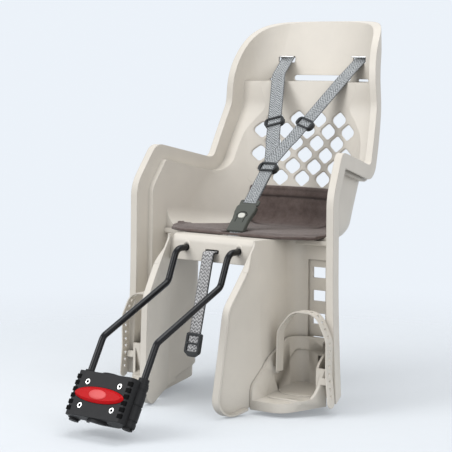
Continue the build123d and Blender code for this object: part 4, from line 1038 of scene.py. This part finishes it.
def block_armour(mesh):
    """Raised panels on the sleeves, and half collars above and below the tube."""
    inner = SLEEVE_RADIUS - SLEEVE_INSET
    for first, last, centre in SLEEVE_SPANS:
        for proud, low, high in SLEEVE_PANELS:
            arc_plate(mesh, centre, inner, SLEEVE_RADIUS + proud, first, last, low, high)
    arc_plate(mesh, 0, *COLLAR_TOP)
    arc_plate(mesh, 0, *COLLAR_FOOT)
    for centre in (SLEEVE_X, -SLEEVE_X):
        arc_plate(mesh, centre, *SLEEVE_FOOT)


def button_highlight(mesh):
    """Plain raised oval on the release button, coloured lighter red as a painted highlight."""
    wide, tall = HIGHLIGHT_HALF
    outlines = []
    for share, rise in HIGHLIGHT_RISE:
        spots = [(wide * share * math.cos(a), tall * share * math.sin(a)) for a in circle(HIGHLIGHT_SIDES)]
        outlines.append([block_at(x, along, HIGHLIGHT_FACE - rise) for x, along in spots])
    skin(mesh, outlines)


def buckle_ridges(mesh):
    """Finger ridges on the buckle's shoulders."""
    for hand in (1, -1):
        for row in range(RIDGE_COUNT):
            along = RIDGE_FROM + row * RIDGE_PITCH
            corners = oblong(hand * RIDGE_X, along, RIDGE_HALF, RIDGE_HALF)
            slab(mesh, buckle_at, corners, -RIDGE_DEEP, RIDGE_DEEP)


def buckle_gap_shade(mesh):
    """Dark line round the release button, painted shade in its gap: two legs and an arch."""
    wide, tall = GROOVE_ARCH
    turns = [math.pi * i / GROOVE_STEPS for i in range(GROOVE_STEPS + 1)]
    line = [(-GROOVE_LEG, GROOVE_LOW), (-GROOVE_LEG, GROOVE_TOP)]
    line += [(-wide * math.cos(a), GROOVE_TOP + tall * math.sin(a)) for a in turns]
    line += [(GROOVE_LEG, GROOVE_TOP), (GROOVE_LEG, GROOVE_LOW)]
    face = BUCKLE_THICK / 2
    for (ax, az), (bx, bz) in zip(line, line[1:]):
        way = Vector((bx - ax, bz - az)).normalized() * GROOVE_HALF
        cross = (-way.y, way.x)
        corners = [
            (ax - way.x + cross[0], az - way.y + cross[1]),
            (bx + way.x + cross[0], bz + way.y + cross[1]),
            (bx + way.x - cross[0], bz + way.y - cross[1]),
            (ax - way.x - cross[0], az - way.y - cross[1]),
        ]
        slab(mesh, buckle_at, corners, face - GROOVE_DEEP, face + GROOVE_PROUD)


def lock_at(x, along, rise):
    """A point in the ladder lock's own axes."""
    up = Vector(LOCK_UP).normalized()
    out = Vector((0, -up.z, up.y))
    return at(*(Vector(LOCK_END) + Vector((x, 0, 0)) + up * along + out * rise))


def add_lock():
    """Ladder lock: a frame with two windows that show the belt, and a pointed end."""
    wide = WINDOW_HALF
    cut = WINDOW_CUT
    loops = [LOCK_OUTLINE]
    for low, high in LOCK_WINDOWS:
        loop = [(-wide, low + cut), (cut - wide, low), (wide - cut, low), (wide, low + cut)]
        loop += [(wide, high - cut), (wide - cut, high), (cut - wide, high), (-wide, high - cut)]
        loops.append(loop)
    data = pierced("ladder_lock", loops, 1, lambda x, along: lock_at(x, along, 0))
    obj = piece("ladder_lock", data, "dark_plastic", "seat", "safety_buckle")
    thicken(obj, 2 * LOCK_DEEP)
    round_edges(obj, LOCK_EDGE)


def slot_bars(mesh):
    """Bright bars over which the shoulder webbing runs into the back."""
    middle_y, middle_z = SLOT_BAR
    radius = SLOT_BAR_RADIUS
    ring = [(middle_y + radius * math.cos(a), middle_z + radius * math.sin(a)) for a in circle(12)]
    for hand in (1, -1):
        prism(mesh, *[[at(hand * x, y, z) for y, z in ring] for x in SLOT_BAR_X])


def guard_x(y, z):
    """Leg side of a guard's inner wall ahead of the fork holes."""
    share = (GUARD_TOP_Z - z) / (GUARD_TOP_Z - GUARD_FOOT_Z)
    top = GUARD_TOP[0] + y * GUARD_TOP[1]
    foot = GUARD_FOOT[0] + y * GUARD_FOOT[1]
    return top + (foot - top) * share


def guard_folds(mesh):
    """Ends of the guards' front lips, where they run out into the wall."""
    way = Vector((GUARD_KNEE[0] - GUARD_BROW[0], GUARD_KNEE[1] - GUARD_BROW[1]))
    inward = Vector((-way.y, way.x)).normalized()
    for hand in (1, -1):
        outlines = []
        for i in range(FOLD_STEPS + 1):
            share = FOLD_FROM + (FOLD_TO - FOLD_FROM) * i / FOLD_STEPS
            y, z = Vector(GUARD_BROW) + way * share + inward * FOLD_SET
            base = guard_x(y, z)
            root = base - FOLD_ROOT
            tip = base - FOLD_START + (GUARD_LIP + FOLD_START) * ease(i / FOLD_STEPS)
            far_y = y + inward.x * WALL
            far_z = z + inward.y * WALL
            corners = ((root, y, z), (tip, y, z), (tip, far_y, far_z), (root, far_y, far_z))
            outlines.append([at(hand * p, q, r) for p, q, r in corners])
        skin(mesh, outlines)


def rod_rims(mesh):
    """Moulded rims round the fork's holes in the front lip."""
    thicker, higher = ROD_BROW
    for hand in (1, -1):
        outlines = []
        for turn in circle(ROD_SIDES):
            upper = max(0, math.sin(turn))
            ring = []
            for around in circle(BEAD_SIDES):
                reach = ROD_RIM + (1 + thicker * upper) * ROD_BEAD * math.cos(around)
                x = hand * (ROD_X + reach * math.cos(turn))
                z = ROD_Z + reach * (1 + higher * upper) * math.sin(turn)
                face = LIP_FACE[0] + LIP_FACE[1] * z
                ring.append(at(x, face + ROD_SINK + ROD_BEAD * math.sin(around), z))
            outlines.append(ring)
        skin(mesh, outlines, True)


def diamond(x, z, radius):
    """Outline of a round-cornered diamond in the back."""
    wide, tall = DIAMOND_CORE
    tilt = math.atan2(wide, tall)
    spans = (
        (wide, 0, -tilt, tilt),
        (0, tall, tilt, math.pi - tilt),
        (-wide, 0, math.pi - tilt, math.pi + tilt),
        (0, -tall, math.pi + tilt, math.tau - tilt),
    )
    points = []
    for cx, cz, first, last in spans:
        turns = [first + (last - first) * i / DIAMOND_STEPS for i in range(DIAMOND_STEPS + 1)]
        points += [(x + cx + radius * math.cos(a), z + cz + radius * math.sin(a)) for a in turns]
    return points


def wall_spot(x, z, start, way):
    """Where the back is met, in seat millimetres from front to rear, along a level line."""
    shell = nodes["seat_shell"]
    back = shell.matrix_world.inverted()
    turn = back.to_3x3()
    hit, place, _, _ = shell.ray_cast(back @ at(x, start, z), turn @ Vector((0, way, 0)))
    return ((shell.matrix_world @ place - SEAT) / MM).y if hit else None


def lattice_rims(mesh):
    """Thick edges of the diamond openings."""
    thin, thick = LATTICE_WALL
    for row in range(DIAMOND_ROWS):
        count = DIAMOND_COUNT - row % 2
        for column in range(count):
            x = (column - (count - 1) / 2) * DIAMOND_PITCH
            z = LATTICE_LOW + row * DIAMOND_ROW
            outer = diamond(x, z, DIAMOND_ROUND + RIM_OUT)
            inner = diamond(x, z, DIAMOND_ROUND - RIM_IN)
            outlines = []
            for (ox, oz), (ix, iz) in zip(outer, inner):
                front = wall_spot(ox, oz, LATTICE_AHEAD, 1)
                rear = wall_spot(ox, oz, LATTICE_BEHIND, -1)
                if front is None or rear is None or not thin < rear - front < thick:
                    outlines = []
                    break
                spots = (
                    (ox, front + RIM_TUCK, oz),
                    (ix, front + RIM_LIP, iz),
                    (ix, rear - RIM_LIP, iz),
                    (ox, rear - RIM_TUCK, oz),
                )
                outlines.append([at(*spot) for spot in spots])
            if outlines:
                skin(mesh, outlines, True)


def wing_cut(mesh, hand):
    """What is taken off a foot rest: the outer wing's front corner, the end of the floor's rib."""
    prism(mesh, *[[at(hand * x, y, z) for y, z in WING_EDGE] for x in (WING_IN, WING_OUT)])
    prism(mesh, *[[at(hand * x, y, z) for x, y in RIB_END] for z in RIB_END_Z])


def add_foot_rest(hand, side):
    """Foot rest from a copy of its solid, its outer wing cut to a curve."""
    node = nodes[f"foot_rest_{side}"]
    mesh = bmesh.new()
    mesh.from_mesh(node.data)
    bmesh.ops.remove_doubles(mesh, verts=mesh.verts, dist=0.00001)
    mesh.transform(node.matrix_world)
    whole = bpy.data.objects.new("whole", baked(mesh, "whole"))
    mesh = bmesh.new()
    wing_cut(mesh, hand)
    bmesh.ops.recalc_face_normals(mesh, faces=mesh.faces)
    tool = bpy.data.objects.new("tool", baked(mesh, "blade"))
    for obj in (whole, tool):
        bpy.context.scene.collection.objects.link(obj)
    knife = whole.modifiers.new("cut", "BOOLEAN")
    knife.operation = "DIFFERENCE"
    knife.solver = "EXACT"
    knife.object = tool
    shape = whole.evaluated_get(bpy.context.evaluated_depsgraph_get())
    result = bpy.data.meshes.new_from_object(shape)
    bpy.data.objects.remove(whole)
    bpy.data.objects.remove(tool)
    smooth(result, angle=30)
    obj = piece(f"foot_cup_{side}", result, "shell", f"foot_{side}", f"foot_rest_{side}")


def floor_z(y):
    """Top of a foot rest's floor."""
    return FLOOR_TOE[1] + (y - FLOOR_TOE[0]) * FLOOR_RISE


def foot_marks(hand):
    """Raised rib and the cup's edge on a foot rest's floor."""

    def build(mesh):
        outlines = []
        for share, rise in RIB_RISE:
            spots = []
            for a in circle(RIB_SIDES):
                end = math.copysign(RIB_HALF - RIB_ROUND, math.cos(a))
                x = RIB[0] + end + RIB_ROUND * share * math.cos(a)
                y = RIB[1] + RIB_ROUND * share * math.sin(a)
                spots.append(at(hand * x, y, floor_z(y) + rise))
            outlines.append(spots)
        skin(mesh, outlines)
        route = [(hand * x, y, floor_z(y) + CUP_RISE) for x, y in CUP_LINE]
        ring = [(CUP_BEAD * math.cos(a), CUP_BEAD * math.sin(a)) for a in circle(BEAD_SIDES)]
        tube = []
        line = rounded(route, CUP_BENDS, CUP_STEP)
        for point, out, side, _ in frames(line, Vector((0, 0, 1))):
            tube.append([at(*(point + out * p + side * q)) for p, q in ring])
        skin(mesh, tube)

    return build


def heel_plate(hand):
    """Floor of a foot rest under the heel."""

    def build(mesh):
        rows = []
        middle = HEEL_CELLS / 2
        for y in HEEL_ROWS:
            row = []
            corner = HEEL_ROUND - math.sqrt(HEEL_ROUND**2 - max(0, y - HEEL_TURN) ** 2)
            first = HEEL_IN[0] + HEEL_IN[1] * y + corner
            last = HEEL_OUT[0] + HEEL_OUT[1] * y
            for k in range(HEEL_CELLS + 1):
                x = first + (last - first) * k / HEEL_CELLS
                dish = HEEL_DISH * (1 - ((k - middle) / middle) ** 2)
                dish *= min(1, (y - HEEL_ROWS.start) / HEEL_EASE)
                row.append((hand * x, y, floor_z(y) - HEEL_SINK - dish))
            rows.append(row)
        top = [[mesh.verts.new(at(x, y, z)) for x, y, z in row] for row in rows]
        low = [[mesh.verts.new(at(x, y, z - HEEL_THICK)) for x, y, z in row] for row in rows]
        for sheet in (top, low):
            for first, second in zip(sheet, sheet[1:]):
                for a, b, c, d in zip(first, first[1:], second[1:], second):
                    mesh.faces.new((a, b, c, d))
        rims = [
            grid[0] + [r[-1] for r in grid[1:]] + grid[-1][-2::-1] + [r[0] for r in grid[-2:0:-1]]
            for grid in (top, low)
        ]
        upper, lower = rims
        for a, b, c, d in zip(upper, upper[1:] + upper[:1], lower[1:] + lower[:1], lower):
            mesh.faces.new((a, b, c, d))

    return build


def add_trim():
    """Small pieces of the block, the buckle, the shell and the foot rests."""
    solid_from("block_notch_shade", block_notch_shade, "shade_black", "seat")
    solid_from("block_armour", block_armour, "block", "seat", width=0.0006)
    solid_from("button_highlight", button_highlight, "red_painted_highlight", "release_button")
    solid_from("buckle_ridges", buckle_ridges, "buckle", "seat")
    solid_from("buckle_gap_shade", buckle_gap_shade, "shade_black", "seat", width=0.00005)
    solid_from("slot_bars", slot_bars, "steel", "seat", width=0.0002)
    solid_from("guard_folds", guard_folds, "shell", "seat", width=0.0004)
    solid_from("rod_rims", rod_rims, "shell", "seat", width=0.0001)
    solid_from("lattice_rims", lattice_rims, "shell", "seat", width=0.0003)
    for hand, side in SIDES:
        add_foot_rest(hand, side)
        body = f"foot_{side}"
        plate = solid_from(f"heel_floor_{side}", heel_plate(hand), "shell", body, width=0.0003)
        marks = solid_from(f"foot_marks_{side}", foot_marks(hand), "shell", body, width=0.0002)


def add_springs():
    """Springs, copied from their solids into pieces on the seat."""
    across = Vector((1, 0, 0))
    inward = buckle_at(0, 1, 0) - buckle_at(0, 1, 1)
    root = buckle_at(*BUCKLE_SPRING_ROOT)
    give = [("buckle_spring", "buckle_press", inward, root, BUCKLE_SPRING_KEEP)]
    for hand, side in SIDES:
        root = Vector((hand * LATCH_SPRING_ROOT * MM, 0, 0))
        joint = f"latch_{side}_slide"
        give.append((f"latch_spring_{side}", joint, across, root, LATCH_SPRING_KEEP))
    for node, joint, axis, anchor, keep in give:
        data = nodes[node].data.copy()
        data.transform(nodes[node].matrix_world)
        obj = piece(f"{node}_leaf", data, "steel", "seat", node)
        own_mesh(obj)


def add_floor():
    """Pale floor just under the object."""
    mesh = bmesh.new()
    bmesh.ops.create_grid(mesh, x_segments=FLOOR_CELLS, y_segments=FLOOR_CELLS, size=FLOOR_HALF)
    data = baked(mesh, "floor")
    data.materials.append(floor_look("floor", FLOOR_COLOUR))
    floor = bpy.data.objects.new("floor", data)
    floor.location = (SEAT.x, SEAT.y, FLOOR_Z)
    bpy.context.scene.collection.objects.link(floor)


add_camera()
add_world()
add_lamps()
dress_nodes()
add_belts()
for strap_hand, strap_side in SIDES:
    add_foot_strap(strap_hand, strap_side)
add_cushion()
add_lock()
add_trim()
add_springs()
add_floor()

bpy.context.scene.view_settings.view_transform = "Standard"
